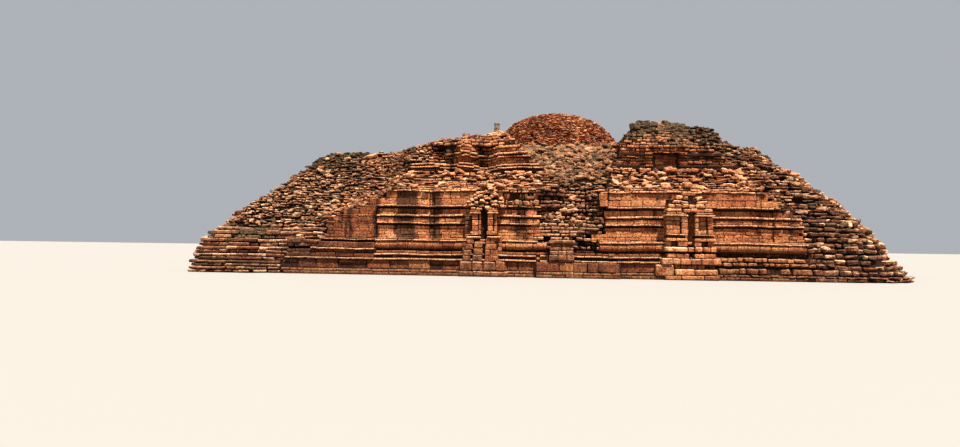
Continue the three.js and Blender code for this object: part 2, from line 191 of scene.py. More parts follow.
def chain(side, z, face, cut=0.0):
    """The same line between the middles of the two corners, rounded there; cut moves it inwards."""
    kind, prev, nxt = side % 2, (side + 3) % 2, (side + 1) % 2
    pts = [(t, n - cut, q) for t, n, q in outline(kind, z, face)]
    kerb = 0.75 if z < 0.5 and kind == 0 else 0.0
    r_l, r_r = lerp(SLOPES[kind]["left"], z) - cut + kerb, lerp(SLOPES[kind]["right"], z) - cut
    t_l, t_r = -(lerp(SLOPES[prev]["right"], z) - cut), lerp(SLOPES[nxt]["left"], z) - cut
    rad_l, rad_r = max(0.5, lerp(RADII[prev], z) - cut), max(0.5, lerp(RADII[kind], z) - cut)
    ts = np.array([p[0] for p in pts]); ns = np.array([p[1] for p in pts])
    out = []
    a_n = 7
    for i in range(a_n + 1):  # from the 45 degree point down to the flat
        a = math.pi / 4 * (1 - i / a_n)
        t, n = t_l + rad_l - rad_l * math.sin(a), r_l - rad_l + rad_l * math.cos(a)
        out.append((t, min(n, float(np.interp(t, ts, ns))), "L"))
    lo, hi = t_l + rad_l, t_r - rad_r
    at_lo, zone = float(np.interp(lo, ts, ns)), "L"
    if at_lo > out[-1][1] + 0.05: out.append((lo + 1e-3, at_lo, "L"))
    for t, n, q in pts:
        if lo + 1e-3 < t < hi - 1e-3:
            out.append((t, n, q)); zone = q
    at_hi = float(np.interp(hi, ts, ns))
    high_end = z > 9.9 and kind == 0
    if hi > lo: out.append((hi - 1e-3, at_hi, zone if not high_end else "R"))
    for i in range(a_n + 1):
        a = math.pi / 4 * (i / a_n)
        t, n = t_r - rad_r + rad_r * math.sin(a), r_r - rad_r + rad_r * math.cos(a)
        if high_end: n = max(n, at_hi - 0.1 - 0.95 * (t - hi))
        out.append((t, min(n, float(np.interp(t, ts, ns))), "R"))
    return out


def inset_of(xy, z):
    """How far inside the mass each point is at a height, in units; negative outside."""
    xy = np.atleast_2d(xy)
    face = face_of(z)
    best = np.full(len(xy), 99.0)
    for side in range(4):
        pts = outline(side % 2, z, face)
        ts = np.array([p[0] for p in pts]); ns = np.array([p[1] for p in pts])
        t, n = to_side(xy[:, 0], xy[:, 1], side)
        best = np.minimum(best, np.interp(t, ts, ns) - n)
        rad = lerp(RADII[side % 2], z)
        cn, ct = lerp(SLOPES[side % 2]["right"], z) - rad, lerp(SLOPES[(side + 1) % 2]["left"], z) - rad
        out = (t > ct) & (n > cn)
        best = np.where(out, np.minimum(best, rad - np.hypot(t - ct, n - cn)), best)
    return best


def to_side(x, y, side):
    if side == 0: return x, -y
    if side == 1: return y, x
    if side == 2: return -x, y
    return -y, -x


def from_side(t, n, side):
    if side == 0: return t, -n
    if side == 1: return n, t
    if side == 2: return -t, n
    return -n, -t


# height of the mass under a place: the highest level that is still inside
SCAN = [0.6, 1.0, 1.5, 2.0, 2.4, 2.9, 3.3, 3.8, 4.3, 4.8, 5.3, 5.8, 6.3, 6.8, 7.3, 7.7, 8.0, 8.3, 8.6, 8.9, 9.2, 9.5, 9.8, 10.1, 10.4, 10.7, 11.0, 11.3,
        11.6, 11.9, 12.2, 12.5, 12.8, 13.1, 13.4, 13.7, 13.85]


def top_of(xy, margin):
    xy = np.atleast_2d(xy)
    top = np.zeros(len(xy))
    alive = np.ones(len(xy), bool)
    for z in SCAN:
        alive &= inset_of(xy, z) > margin
        top = np.where(alive, z, top)
    return top


# ------------------------------------------------------------------ block templates
def chamfer_box():
    v, idx = [], {}
    for sx in (-1, 1):
        for sy in (-1, 1):
            for sz in (-1, 1):
                for ax in range(3):
                    idx[(sx, sy, sz, ax)] = len(v)
                    v.append((sx, sy, sz, ax))
    f = []
    for ax in range(3):
        b, c = (ax + 1) % 3, (ax + 2) % 3
        for s in (-1, 1):
            q = []
            for sb, sc in ((-1, -1), (1, -1), (1, 1), (-1, 1)):
                k = [0, 0, 0]; k[ax], k[b], k[c] = s, sb, sc
                q.append(idx[(*k, ax)])
            f.append(q if s > 0 else q[::-1])
    for ax in range(3):  # edges run along ax, between the faces of b and c
        b, c = (ax + 1) % 3, (ax + 2) % 3
        for sb in (-1, 1):
            for sc in (-1, 1):
                k0, k1 = [0, 0, 0], [0, 0, 0]
                k0[ax], k0[b], k0[c] = -1, sb, sc
                k1[ax], k1[b], k1[c] = 1, sb, sc
                q = [idx[(*k0, b)], idx[(*k1, b)], idx[(*k1, c)], idx[(*k0, c)]]
                f.append(q if sb * sc > 0 else q[::-1])
    for sx in (-1, 1):
        for sy in (-1, 1):
            for sz in (-1, 1):
                q = [idx[(sx, sy, sz, 0)], idx[(sx, sy, sz, 1)], idx[(sx, sy, sz, 2)]]
                f.append(q if sx * sy * sz > 0 else q[::-1])
    return np.array(v), f


def check_winding(verts, faces):
    """Turns each face of a convex template outwards."""
    out = []
    for q in faces:
        p = verts[q]
        nrm = np.cross(p[1] - p[0], p[2] - p[0])
        out.append(list(q) if nrm @ p.mean(0) > 0 else list(q)[::-1])
    return out


CB_V, CB_F = chamfer_box()
_half = np.ones(3)
_t = CB_V[:, :3] * 1.0
for _i, _r in enumerate(CB_V):
    for _a in range(3):
        if _a != _r[3]:
            _t[_i, _a] *= 0.8
CB_F = check_winding(_t, CB_F)
# a block whose hidden sides stay plain: back ring, front ring, inset front
PL_V = np.array([(-1, -1, -1, 9), (1, -1, -1, 9), (1, 1, -1, 9), (-1, 1, -1, 9),
                 (-1, -1, 1, 8), (1, -1, 1, 8), (1, 1, 1, 8), (-1, 1, 1, 8),
                 (-1, -1, 1, 7), (1, -1, 1, 7), (1, 1, 1, 7), (-1, 1, 1, 7)])
PL_F = [[0, 3, 2, 1]] + [[i, (i + 1) % 4, 4 + (i + 1) % 4, 4 + i] for i in range(4)] + \
       [[4 + i, 4 + (i + 1) % 4, 8 + (i + 1) % 4, 8 + i] for i in range(4)] + [[8, 9, 10, 11]]
BX_V = np.array([(sx, sy, sz, 0) for sx in (-1, 1) for sy in (-1, 1) for sz in (-1, 1)])
BX_F = [[0, 1, 3, 2], [4, 6, 7, 5], [0, 4, 5, 1], [2, 3, 7, 6], [0, 2, 6, 4], [1, 5, 7, 3]]
BX_F = check_winding(BX_V[:, :3].astype(float), BX_F)


def roll_template():
    """A roll moulding: a half round front, with the ends drawn in."""
    prof = [(-1, -1), (0.15, -1), (0.62, -0.72), (0.93, -0.3), (1.0, 0.15), (0.8, 0.62), (0.4, 0.95), (0.0, 1), (-1, 1)]  # (w, v)
    v = []
    for k, u in enumerate((-1, -1, 1, 1)):
        for w, z in prof:
            inner = k in (1, 2)
            v.append((u, z, w, 5 if inner else 6))
    n = len(prof)
    f = [list(range(n))[::-1], [3 * n + i for i in range(n)]]
    for k in range(3):
        for i in range(n):
            j = (i + 1) % n
            f.append([k * n + i, k * n + j, (k + 1) * n + j, (k + 1) * n + i])
    return np.array(v, float), f


RL_V, RL_F = roll_template()
_t = RL_V[:, :3].copy()
_t[RL_V[:, 3] == 6, 0] *= 1.0
_t[RL_V[:, 3] == 5, 0] *= 0.9
RL_F = check_winding(_t, RL_F)
TEMPLATES = dict(stone=(CB_V, CB_F), pillow=(PL_V, PL_F), box=(BX_V, BX_F), roll=(RL_V, RL_F))

bag = {k: [] for k in TEMPLATES}


def add(kind, node, c, uvec, h, cham=0.04, skew=0.0, rot=(0, 0, 0), col=(0.5, 0, 0, 0)):
    """One block: centre, direction along the wall (x, y), half sizes (along, up, deep), in units."""
    bag[kind].append((node, *c, *uvec, *h, cham, skew, *rot, *col))


def solve(kind, rows, local):
    """Vertices of all blocks of one template, in units."""
    tv, _ = TEMPLATES[kind]
    a = np.array([r[1:] for r in rows], float)
    n, k = len(a), len(tv)
    c, u2, h, cham, skew, rot = a[:, 0:3], a[:, 3:5], a[:, 5:8], a[:, 8], a[:, 9], a[:, 10:13]
    s = np.asarray(tv[:, :3], float)[None] * h[:, None]
    cc = np.minimum(cham, 0.45 * h.min(1))[:, None]
    sign = np.sign(np.asarray(tv[:, :3], float))[None]
    tag = np.asarray(tv[:, 3])[None]
    if kind == "stone":
        for ax in range(3):
            s[:, :, ax] -= np.where(tag != ax, sign[:, :, ax] * cc, 0)
    elif kind == "pillow":
        s[:, :, 2] -= np.where(tag == 8, cc, 0)
        for ax in (0, 1):
            s[:, :, ax] -= np.where(tag == 7, sign[:, :, ax] * cc, 0)
    elif kind == "roll":
        s[:, :, 0] -= np.where(tag == 5, sign[:, :, 0] * cc, 0)
        for ax in (1, 2):
            s[:, :, ax] *= np.where(tag == 6, 0.93, 1.0)
    # each corner of a block is worn differently
    corner = local.normal(0, 1, (n, 2, 2, 2, 3))
    ix = (sign > 0).astype(int)[0]
    s += corner[:, ix[:, 0], ix[:, 1], ix[:, 2]] * (skew[:, None, None] * np.minimum(h, 0.4)[:, None])
    # small turns of the whole block: about the upright, the wall line and the depth
    u = np.stack([u2[:, 0], u2[:, 1], np.zeros(n)], 1)
    v = np.tile([0.0, 0.0, 1.0], (n, 1))
    w = np.cross(u, v)

    def turn(p, q, ang):
        cs, sn = np.cos(ang)[:, None], np.sin(ang)[:, None]
        return p * cs + q * sn, q * cs - p * sn
    u, w = turn(u, w, rot[:, 0])
    v, w = turn(v, w, rot[:, 1])
    u, v = turn(u, v, rot[:, 2])
    p = c[:, None] + s[:, :, 0:1] * u[:, None] + s[:, :, 1:2] * v[:, None] + s[:, :, 2:3] * w[:, None]
    # painted shade darkens the foot of each block, a painted highlight brightens its upper edge
    rise = np.clip(s[:, :, 1] / h[:, None, 1], -1, 1)
    loose = np.clip(skew * 3.4, 0.06, 0.5)[:, None]
    col = np.repeat(a[:, None, 13:17], k, 1)
    col[:, :, 2] = np.clip(col[:, :, 2] + 1.05 * loose * np.maximum(-rise, 0), 0, 1)
    col[:, :, 3] = np.clip(col[:, :, 3] * (1 - loose * np.maximum(-rise, 0)) + 0.55 * loose * np.maximum(rise, 0), 0, 1)
    return p, col


# ------------------------------------------------------------------ laying courses
def node_at(side, t, z, shift=0):
    if z < 0.5:
        return "footing_course"
    if z < 9.9:
        if t > 20.0: return f"corner_{('front_right', 'back_right', 'back_left', 'front_left')[side]}"
        if t < -23.0: return f"corner_{('front_left', 'front_right', 'back_right', 'back_left')[side]}"
        if abs(t) <= 3.6: return f"{SIDES[side]}_stair_lower"
        return f"{SIDES[side]}_wall_{'left' if t < 0 else 'right'}"
    if t < -14.0:
        return f"{SIDES[(side + 3) % 4]}_upper_wall_right"
    if abs(t) <= 4.6:
        return f"{SIDES[side]}_stair_upper"
    return f"{SIDES[side]}_upper_wall_{'left' if t < 0 else 'right'}"


def noise2(x, y, s=0.0):
    """A smooth field between about -1 and 1."""
    return (math.sin(0.61 * x + 1.7 + s) * math.cos(0.53 * y - 0.4 * s) + 0.6 * math.sin(1.37 * x - 0.9 * y + 2.1 * s)
            + 0.4 * math.cos(2.3 * y + 1.1 * x + s)) / 1.6


def colour(side, t, n, z, zone, pale=None, dirt=0.0, shade=None):
    """Per block: shade, lichen, stain with painted shade in recesses, paleness with painted highlight on edges."""
    x, y = from_side(t, n, side)
    loose = zone in "LRB"
    wave = 0.5 + 0.5 * noise2(x * 0.9, y * 0.9 + z * 0.8, 6.0)
    if loose or zone == "T":
        sh = 0.60 * rng.random() + 0.3 * wave - (0.06 if loose and z > 2.5 else 0.0)
        if rng.random() < 0.1: sh = rng.uniform(0.75, 1.0)
        if rng.random() < 0.1: sh = rng.uniform(0.0, 0.2)
    elif z > 7.9:
        sh = ((0.02 if z < 9.9 else 0.1) if t > 3 else (0.24 if z > 9.9 and t < -5 and side == 0 else 0.08)) + 0.46 * rng.random() + 0.24 * wave
    else:
        sh = (0.43 if t < 3 else (0.35 if t < 8.5 else 0.19)) + 0.24 * rng.random() + 0.3 * wave
    if zone == "P": sh = 0.2 * rng.random() + 0.12 * wave
    if zone == "B": sh *= 0.75
    if zone == "R" and side == 0: sh *= 0.32
    if zone == "L" and side == 0: sh *= 0.68
    if zone == "S" and 7.9 < z < 9.9 and rng.random() < 0.32: sh *= 0.2
    if zone == "S" and 7.9 < z < 9.9 and t > 3: sh *= 0.6
    if shade is not None: sh = shade
    lich = 0.0
    if loose:
        top = min(1.0, max(0.0, (z - 4.5) / 9.0))
        lich = 0.08 + (0.5 if zone == "L" else 0.42) * top + 0.3 * noise2(x * 0.42, y * 0.42 + z * 0.5, 1.0)
        if rng.random() < 0.14: lich += 0.4
        if zone == "B": lich += 0.22
    if z > 13.2:
        lich = (0.3 if t < 0 and side == 0 else 0.62) + 0.3 * noise2(x * 0.6, y * 0.6, 2.0) + (0.35 if rng.random() < 0.3 else 0)
    elif z > 12.3 and not loose:
        lich = (0.1 if t < 0 and side == 0 else 0.34) + 0.3 * noise2(x * 0.5, z, 3.0)
    elif z > 9.9 and not loose:
        lich = 0.12 + 0.22 * noise2(x * 0.5, z, 3.0) + (0.3 if rng.random() < 0.08 else 0)
    elif z > 7.9:
        lich = max(lich, 0.10 + 0.25 * noise2(x * 0.5, y * 0.5, 4.0))
        if rng.random() < 0.1: lich += 0.3
    st = 0.0
    if not loose and z < 9.0: st = 0.62 * max(0.0, 1 - z / 2.6) + 0.08
    if loose and z < 1.5:
        st = 0.3
    if zone == "T": st, sh = 0.24, sh * 0.86
    if zone == "L" and side == 0 and z > 8.5 and t < -15: lich, sh = lich + 0.16 * min(1.0, (z - 8.5) / 2), sh * 0.85
    if side == 0 and z > 9.9 and -15.5 < t < -4: lich *= 0.5
    if side == 0 and zone == "L" and z > 8.5 and -21 < t <= -15.5: lich *= 0.62
    if side == 0 and zone == "L" and 3.2 < z < 5.2 and t < -28.2: lich += 0.3
    if z >= 5.2 and ((side == 0 and zone == "L" and t < -22.5) or (side == 3 and zone == "R" and t > 22)): lich += 0.15
    if side == 0 and zone == "L" and z < 4.2: sh, pale = sh * 0.92, 0.12 + 0.84 * rng.random() ** 1.4
    if pale is None and zone == "S" and 7.9 < z < 9.9 and t > 3: pale = 0.04 + 0.4 * rng.random() ** 2.5
    if pale is None and zone in "LR": pale = 0.1 + 0.85 * rng.random() ** 1.5
    pl = pale if pale is not None else (0.08 + 0.55 * rng.random() ** 1.6 if loose or zone == "T" or 7.9 < z < 9.9 else 0.16 + 0.14 * rng.random())
    return (min(1.0, sh), min(1.0, max(0.0, lich)), min(1.0, max(st, dirt)), pl)


def runs_of(points, keep):
    """Splits a chain into smooth runs inside the zones that are kept: [(list of points, zone)]."""
    runs, cur, zone = [], [], None
    n = len(points)
    for i in range(n - 1):
        (t0, n0, q0), (t1, n1, q1) = points[i], points[i + 1]
        dx, dy = t1 - t0, n1 - n0
        ln = math.hypot(dx, dy)
        if ln < 1e-3:
            continue
        if q0 not in keep:
            if cur: runs.append((cur, zone)); cur = []
            continue
        d = (dx / ln, dy / ln)
        if cur:
            px, py = cur[-1][0] - cur[-2][0], cur[-1][1] - cur[-2][1]
            pl = math.hypot(px, py)
            cosang = (px * d[0] + py * d[1]) / pl
            if cosang < 0.9 or q0 != zone or math.hypot(cur[-1][0] - t0, cur[-1][1] - n0) > 0.02:
                runs.append((cur, zone)); cur = []
        if not cur:
            cur, zone = [(t0, n0)], q0
        cur.append((t1, n1))
    if cur: runs.append((cur, zone))
    return runs


def along(pts, s):
    for i in range(len(pts) - 1):
        (a, b), (c, d) = pts[i], pts[i + 1]
        ln = math.hypot(c - a, d - b)
        if s <= ln or i == len(pts) - 2:
            k = s / ln if ln else 0
            return a + (c - a) * k, b + (d - b) * k
        s -= ln
    return pts[-1]


def lay(side, z0, z1, face, keep, lens, kind="pillow", depth=0.32, cut=0.0, out=0.0, cham=0.045, skew=0.03,
        jn=0.03, jz=0.01, jr=0.01, gap=0.03, miss=0.0, parity=0, only_open=None, limits=None, node=None,
        points=None, zone_as=None, hvar=0.06, sunk=0.0, clump=0.0, alt=0.0, pale=None, dirt=0.0, shade=None, top_out=0.24):
    """Lays one course of one side along its wall line."""
    pts = points if points is not None else chain(side, (z0 + z1) / 2, face, cut)
    if limits:
        pts = clip_chain(pts, *limits)
    runs = runs_of(pts, keep)
    made = []
    for ri, (rp, zone) in enumerate(runs):
        total = sum(math.hypot(rp[i + 1][0] - rp[i][0], rp[i + 1][1] - rp[i][1]) for i in range(len(rp) - 1))
        if total < 0.12:
            continue
        # at an outward corner the blocks of every other course run through
        start = 0.0

        def turn_with(other, here_first):
            (ax, ay), (bx, by) = (other[0][-2], other[0][-1]) if here_first else (rp[-2], rp[-1])
            (cx, cy), (dx, dy) = (rp[0], rp[1]) if here_first else (other[0][0], other[0][1])
            if math.hypot(cx - bx, cy - by) > 0.02: return 0.0
            return (bx - ax) * (dy - cy) - (by - ay) * (dx - cx)
        end = total
        dd = min(0.34, depth * 2)
        if ri > 0 and turn_with(runs[ri - 1], True) < -1e-3 and parity: start = dd
        if ri + 1 < len(runs) and turn_with(runs[ri + 1], False) < -1e-3 and not parity: end = total - dd
        if end - start < 0.14:
            continue
        s = start
        cuts = [s]
        first = True
        while s < end - 1e-6:
            ln = rng.uniform(*lens)
            if first and parity and end - start > lens[1]: ln *= 0.6
            first = False
            if end - (s + ln) < lens[0] * 0.55: ln = end - s
            s = min(end, s + ln)
            cuts.append(s)
        for k, (a, b) in enumerate(zip(cuts[:-1], cuts[1:])):
            if rng.random() < miss: continue
            (ta, na), (tb, nb) = along(rp, a), along(rp, b)
            ln = math.hypot(tb - ta, nb - na)
            if ln < 0.05: continue
            made.append((ta, na, tb, nb, ln, zone, k))
    if not made:
        return 0
    m = np.array([x[:5] for x in made])
    d = np.stack([m[:, 2] - m[:, 0], m[:, 3] - m[:, 1]], 1) / m[:, 4:5]
    nv = np.stack([-d[:, 1], d[:, 0]], 1)
    mid = (m[:, 0:2] + m[:, 2:4]) / 2
    if only_open is not None:
        ctr = mid - nv * (depth * 0.6)
        x, y = from_side(ctr[:, 0], ctr[:, 1], side)
        ok = inset_of(np.stack([x, y], 1), only_open) < 0.42
    else:
        ok = np.ones(len(made), bool)
    cnt = 0
    for i in np.nonzero(ok)[0]:
        ln, zone = made[i][4], zone_as or made[i][5]
        zpale, zdirt_and_shade, zshade = pale, dirt, shade
        if zone == "Q" or (zone == "P" and z0 > 3.15): zpale, zdirt_and_shade = 0.14, 0.06 if zone == "Q" else 0.16
        if zone == "L" and z0 < (2.3 if side else 4.1): zpale, zshade = rng.uniform(0.4, 0.95), rng.uniform(0.04, 0.36)
        if zone == "R" and side == 0: zpale, zdirt_and_shade = (rng.uniform(0.0, 0.15), 0.3) if rng.random() < 0.72 else (rng.uniform(0.6, 0.95), 0.1)
        if alt > 0.03: zshade = (0.36 if made[i][6] % 2 else 0.25) + rng.uniform(-0.14, 0.14)
        push = out + rng.normal(0, jn) + clump * noise2(mid[i][0] * 1.3 + 3 * side, z0 * 2.4, 5.0)
        if alt: push += rng.choice((-1.6, -0.4, 0.2, 0.5, 0.8)) * alt
        if sunk and rng.random() < sunk: push -= rng.uniform(0.2, 0.38)
        push = min(push, top_out)
        cn = mid[i] + nv[i] * (push - depth)
        x, y = from_side(cn[0], cn[1], side)
        ux, uy = from_side(d[i][0], d[i][1], side)
        hfull = (z1 - z0) / 2
        hz = hfull * (1 - rng.uniform(0, hvar)) - gap * 0.35
        if zone in "LR" and z0 > 2.3 and rng.random() < 0.09: hz *= rng.uniform(1.35, 1.75)
        zc = z0 + gap * 0.3 + hz + rng.normal(0, jz)
        if side % 2 == 0 and 8.9 < z0 < 13.3:  # the upper wall has settled over its hollow
            fade = min(1.0, (z0 - 8.9) / 1.0, (13.3 - z0) / 1.2)
            zc += fade * (0.13 * math.exp(-((mid[i][0] + 10.3) / 0.8) ** 2) - 0.2 * math.exp(-((mid[i][0] + 8.4) / 1.0) ** 2) - 0.16 * math.exp(-((mid[i][0] + 12.2) / 0.7) ** 2))
        nd = node or node_at(side, mid[i][0], (z0 + z1) / 2)
        if zone in "SK" and nd.endswith("stair_lower"): nd += "_dressed"
        add("pillow" if kind == "stone" and side and rng.random() < 0.6 else kind, nd, (x, y, zc), (ux, uy), (max(0.03, ln / 2 - gap / 2), hz, depth),
            cham * rng.uniform(0.7, 1.3), skew, (rng.normal(0, jr * 1.3), rng.normal(0, jr), rng.normal(0, jr * 0.6)),
            colour(side, mid[i][0], mid[i][1], (z0 + z1) / 2, zone, zpale, zdirt_and_shade, zshade))
        cnt += 1
    return cnt


def clip_chain(pts, lo, hi):
    """Keeps the part of a chain between two places along the side."""
    out = []
    for i in range(len(pts) - 1):
        (t0, n0, q0), (t1, n1, q1) = pts[i], pts[i + 1]
        if t1 < lo or t0 > hi:
            continue
        if t1 - t0 > 1e-9:
            a, b = max(t0, lo), min(t1, hi)
            f = lambda t: n0 + (n1 - n0) * (t - t0) / (t1 - t0)
            p0, p1 = (a, f(a), q0), (b, f(b), q1)
        else:
            p0, p1 = (t0, n0, q0), (t1, n1, q1)
        if not out or math.hypot(out[-1][0] - p0[0], out[-1][1] - p0[1]) > 1e-6: out.append(p0)
        else: out[-1] = p0
        out.append(p1)
    return out


def back_up(side, z0, z1, face, keep, cut=0.3, drop=0.07, points=None, node=None, deep=None):
    """Dark core behind one course, so that open joints read as deep shadow."""
    zm = (z0 + z1) / 2
    pts = points if points is not None else chain(side, zm, face, cut)
    up_face = face_of(z1 + 0.15)
    above = chain(side, min(15.5, z1 + 0.15), up_face, 0)
    at, an = np.array([p[0] for p in above]), np.array([p[1] for p in above])
    for rp, zone in runs_of(pts, keep):
        i = 0
        while i < len(rp) - 1:
            j = i + 1
            if zone in "LR":
                while j < len(rp) - 1 and math.hypot(rp[j][0] - rp[i][0], rp[j][1] - rp[i][1]) < 0.9: j += 1
            (ta, na), (tb, nb) = rp[i], rp[j]
            i = j
            ln = math.hypot(tb - ta, nb - na)
            if ln < (0.08 if zone in "LR" else 0.25): continue
            d = ((tb - ta) / ln, (nb - na) / ln); nv = (-d[1], d[0])
            if abs(nv[0]) > 0.7:
                dep = 0.5
            else:
                step = (na + nb) / 2 - float(np.interp((ta + tb) / 2, at, an))
                dep = min(5.0 if zm < 12.4 else 1.0, max(1.0, step + 1.4)) if deep is None else deep
            c = ((ta + tb) / 2 - nv[0] * dep / 2, (na + nb) / 2 - nv[1] * dep / 2)
            x, y = from_side(c[0], c[1], side)
            ux, uy = from_side(d[0], d[1], side)
            if zm > 13.0: drop = 0.24
            zc, hz = zm - drop, (z1 - z0) / 2
            add("box", node or node_at(side, (ta + tb) / 2, zm), (x, y, zc), (ux, uy), (ln / 2 + 0.1, hz + 0.005, dep / 2),
                0, 0, (0, 0, 0), (0.1, 0.1, 0.9, 0.0))


# moulded courses of the sound walls: bottom, top, face, kind, block lengths, chamfer, paleness (a painted highlight on
# the projecting fillets), how the blocks alternate, dirt (real dirt, and painted shade in the recessed grooves)
SOUND_ROWS = [
    (0.00, 0.26, 31.72, "pillow", (0.9, 1.7), 0.05, 0.3, 0.03, 0.4), (0.26, 0.50, 31.60, "pillow", (0.8, 1.5), 0.05, 0.5, 0.0, 0.3),
    (0.50, 1.34, 31.36, "pillow", (0.9, 2.2), 0.07, 0.25, 0.07, 0.0), (1.34, 1.50, 31.62, "pillow", (0.9, 1.9), 0.07, 1.0, 0.0, 0.0),
    (1.50, 1.76, 31.08, "pillow", (0.9, 1.9), 0.04, 0.2, 0.0, 0.15), (1.76, 1.92, 31.32, "pillow", (0.8, 1.8), 0.07, 0.95, 0.0, 0.0),
    (1.92, 2.16, 30.84, "pillow", (0.7, 1.5), 0.03, 0.0, 0.0, 0.6), (2.16, 2.36, 30.50, "pillow", (0.9, 1.6), 0.03, 0.0, 0.0, 0.95),
    (2.36, 3.04, 31.04, "roll", (0.8, 1.7), 0.03, 0.2, 0.0, 0.34), (3.04, 3.19, 31.10, "pillow", (0.8, 1.7), 0.07, 1.0, 0.0, 0.0),
    (3.19, 3.32, 30.56, "pillow", (0.6, 1.3), 0.04, 0.5, 0.0, 0.0),
    (3.32, 3.60, 30.34, "pillow", (0.5, 1.2), 0.025, 0.2, 0.0, 0.0), (3.60, 3.88, 30.33, "pillow", (0.5, 1.2), 0.025, 0.2, 0.0, 0.0),
    (3.88, 4.16, 30.34, "pillow", (0.5, 1.2), 0.025, 0.2, 0.0, 0.0), (4.16, 4.44, 30.33, "pillow", (0.7, 1.5), 0.025, 0.1, 0.0, 0.0),
    (4.44, 4.60, 29.98, "pillow", (0.9, 1.6), 0.02, 0.0, 0.0, 0.95), (4.60, 4.75, 30.64, "pillow", (0.7, 1.5), 0.06, 0.95, 0.0, 0.0),
    (4.75, 5.13, 30.50, "pillow", (0.7, 1.5), 0.035, 0.15, 0.0, 0.0), (5.13, 5.26, 30.34, "pillow", (0.8, 1.5), 0.02, 0.0, 0.0, 0.6),
    (5.26, 5.44, 30.68, "pillow", (0.7, 1.5), 0.06, 0.95, 0.0, 0.0),
    (5.44, 5.97, 30.22, "pillow", (1.1, 2.3), 0.03, 0.15, 0.0, 0.0), (5.97, 6.14, 29.92, "pillow", (0.9, 1.5), 0.02, 0.0, 0.0, 0.95),
    (6.14, 6.30, 30.64, "pillow", (0.6, 1.3), 0.06, 0.8, 0.0, 0.0), (6.30, 6.88, 30.47, "pillow", (0.9, 2.0), 0.03, 0.2, 0.02, 0.0),
    (6.88, 7.47, 30.49, "pillow", (0.9, 2.0), 0.03, 0.2, 0.02, 0.0), (7.47, 7.68, 30.74, "stone", (0.5, 1.2), 0.07, 0.8, 0.0, 0.0),
    (7.68, 7.90, 30.52, "stone", (0.4, 1.0), 0.07, 0.6, 0.0, 0.0),
    (9.90, 10.20, 25.42, "pillow", (0.6, 1.2), 0.04, 0.2, 0.0, 0.0), (10.20, 10.36, 26.02, "pillow", (0.5, 1.3), 0.07, 0.9, 0.0, 0.0),
    (10.36, 10.48, 25.52, "pillow", (0.7, 1.3), 0.03, 0.0, 0.0, 0.5), (10.48, 10.66, 25.95, "pillow", (0.5, 1.3), 0.07, 0.9, 0.0, 0.0),
    (10.66, 10.80, 24.8, "pillow", (0.7, 1.3), 0.02, 0.0, 0.0, 0.9),
    (10.80, 11.08, 25.16, "pillow", (0.5, 1.1), 0.03, 0.2, 0.0, 0.0), (11.08, 11.36, 25.14, "pillow", (0.5, 1.1), 0.03, 0.2, 0.0, 0.0),
    (11.36, 11.52, 25.56, "pillow", (0.5, 1.1), 0.06, 0.7, 0.0, 0.0), (11.52, 11.66, 25.24, "pillow", (0.5, 1.1), 0.03, 0.1, 0.0, 0.4),
    (11.66, 11.86, 25.72, "pillow", (0.5, 1.1), 0.07, 0.8, 0.0, 0.0), (11.86, 12.0, 24.8, "pillow", (0.6, 1.1), 0.02, 0.0, 0.0, 0.8),
    (12.00, 12.32, 25.12, "pillow", (0.45, 1.0), 0.04, 0.2, 0.0, 0.0),
    (12.32, 12.62, 25.30, "stone", (0.4, 0.9), 0.07, 0.5, 0.0, 0.0), (12.62, 12.94, 24.95, "stone", (0.4, 0.9), 0.08, 0.5, 0.0, 0.0),
    (12.94, 13.28, 24.75, "stone", (0.4, 0.9), 0.08, 0.5, 0.0, 0.0), (13.28, 13.60, 24.2, "stone", (0.4, 0.9), 0.09, 0.5, 0.0, 0.0), (13.60, 13.92, 23.8, "stone", (0.4, 0.9), 0.09, 0.5, 0.0, 0.0),
]
PLINTH_ROWS = [(0.26, 0.50, 31.66, (0.6, 1.2), 0.1), (0.50, 1.04, 31.60, (0.6, 1.2), 0.22), (1.04, 1.18, 31.0, (0.8, 1.4), 0.9), (1.18, 1.52, 31.46, (0.4, 0.9), 0.3),
               (1.52, 1.94, 31.40, (0.42, 0.95), 0.3), (1.94, 2.36, 30.55, (0.7, 1.2), 0.9)]
PLAIN_FOOT = [(1.50, 1.92, 31.14, (1.0, 2.0), 0.1, 0.25), (1.92, 2.20, 31.10, (1.2, 2.2), 0.1, 0.35), (2.20, 2.36, 31.36, (1.0, 2.0), 0.95, 0.0), (2.36, 2.90, 31.0, (1.2, 2.2), 0.1, 0.55),
              (2.90, 3.06, 30.45, (1.0, 1.8), 0.0, 0.95), (3.06, 3.19, 30.8, (0.8, 1.6), 0.6, 0.0)]
LEDGE_ROWS = [(7.90, 8.18, 29.9), (8.18, 8.44, 29.3), (8.44, 8.74, 28.5), (8.74, 9.02, 27.9), (9.02, 9.32, 27.1), (9.32, 9.60, 26.6), (9.60, 9.92, 26.0)]
RUBBLE_LEVELS = [0.0, 0.26, 0.52, 0.80, 1.10, 1.40, 1.72, 2.02, 2.34, 2.68, 3.04, 3.40, 3.78, 4.14, 4.52, 4.88, 5.26, 5.62, 6.00, 6.36, 6.74, 7.10, 7.46, 7.80,
                 8.14, 8.5, 8.86, 9.2, 9.55, 9.9, 10.26, 10.62, 10.98, 11.34, 11.7, 12.06, 12.42, 12.78, 13.14, 13.52, 13.9]
FINE_LEVELS = RUBBLE_LEVELS[:15] + [4.52 + 0.268 * k for k in range(1, 36)]
BIG_LEVELS = [0.0, 0.24, 0.48, 0.95, 1.42, 1.9, 2.38, 2.86, 3.34, 3.82, 4.28, 4.72, 5.12, 5.46, 5.78, 6.1, 6.42, 6.74, 7.06, 7.38, 7.7, 8.02, 8.34, 8.66, 8.98, 9.3, 9.6, 9.9] + RUBBLE_LEVELS[30:]
STAIR_LEVELS = [2.45, 2.84, 3.2, 3.52, 3.83, 4.14, 4.45] + [4.45 + 0.345 * k for k in range(1, 10)] + [7.9]


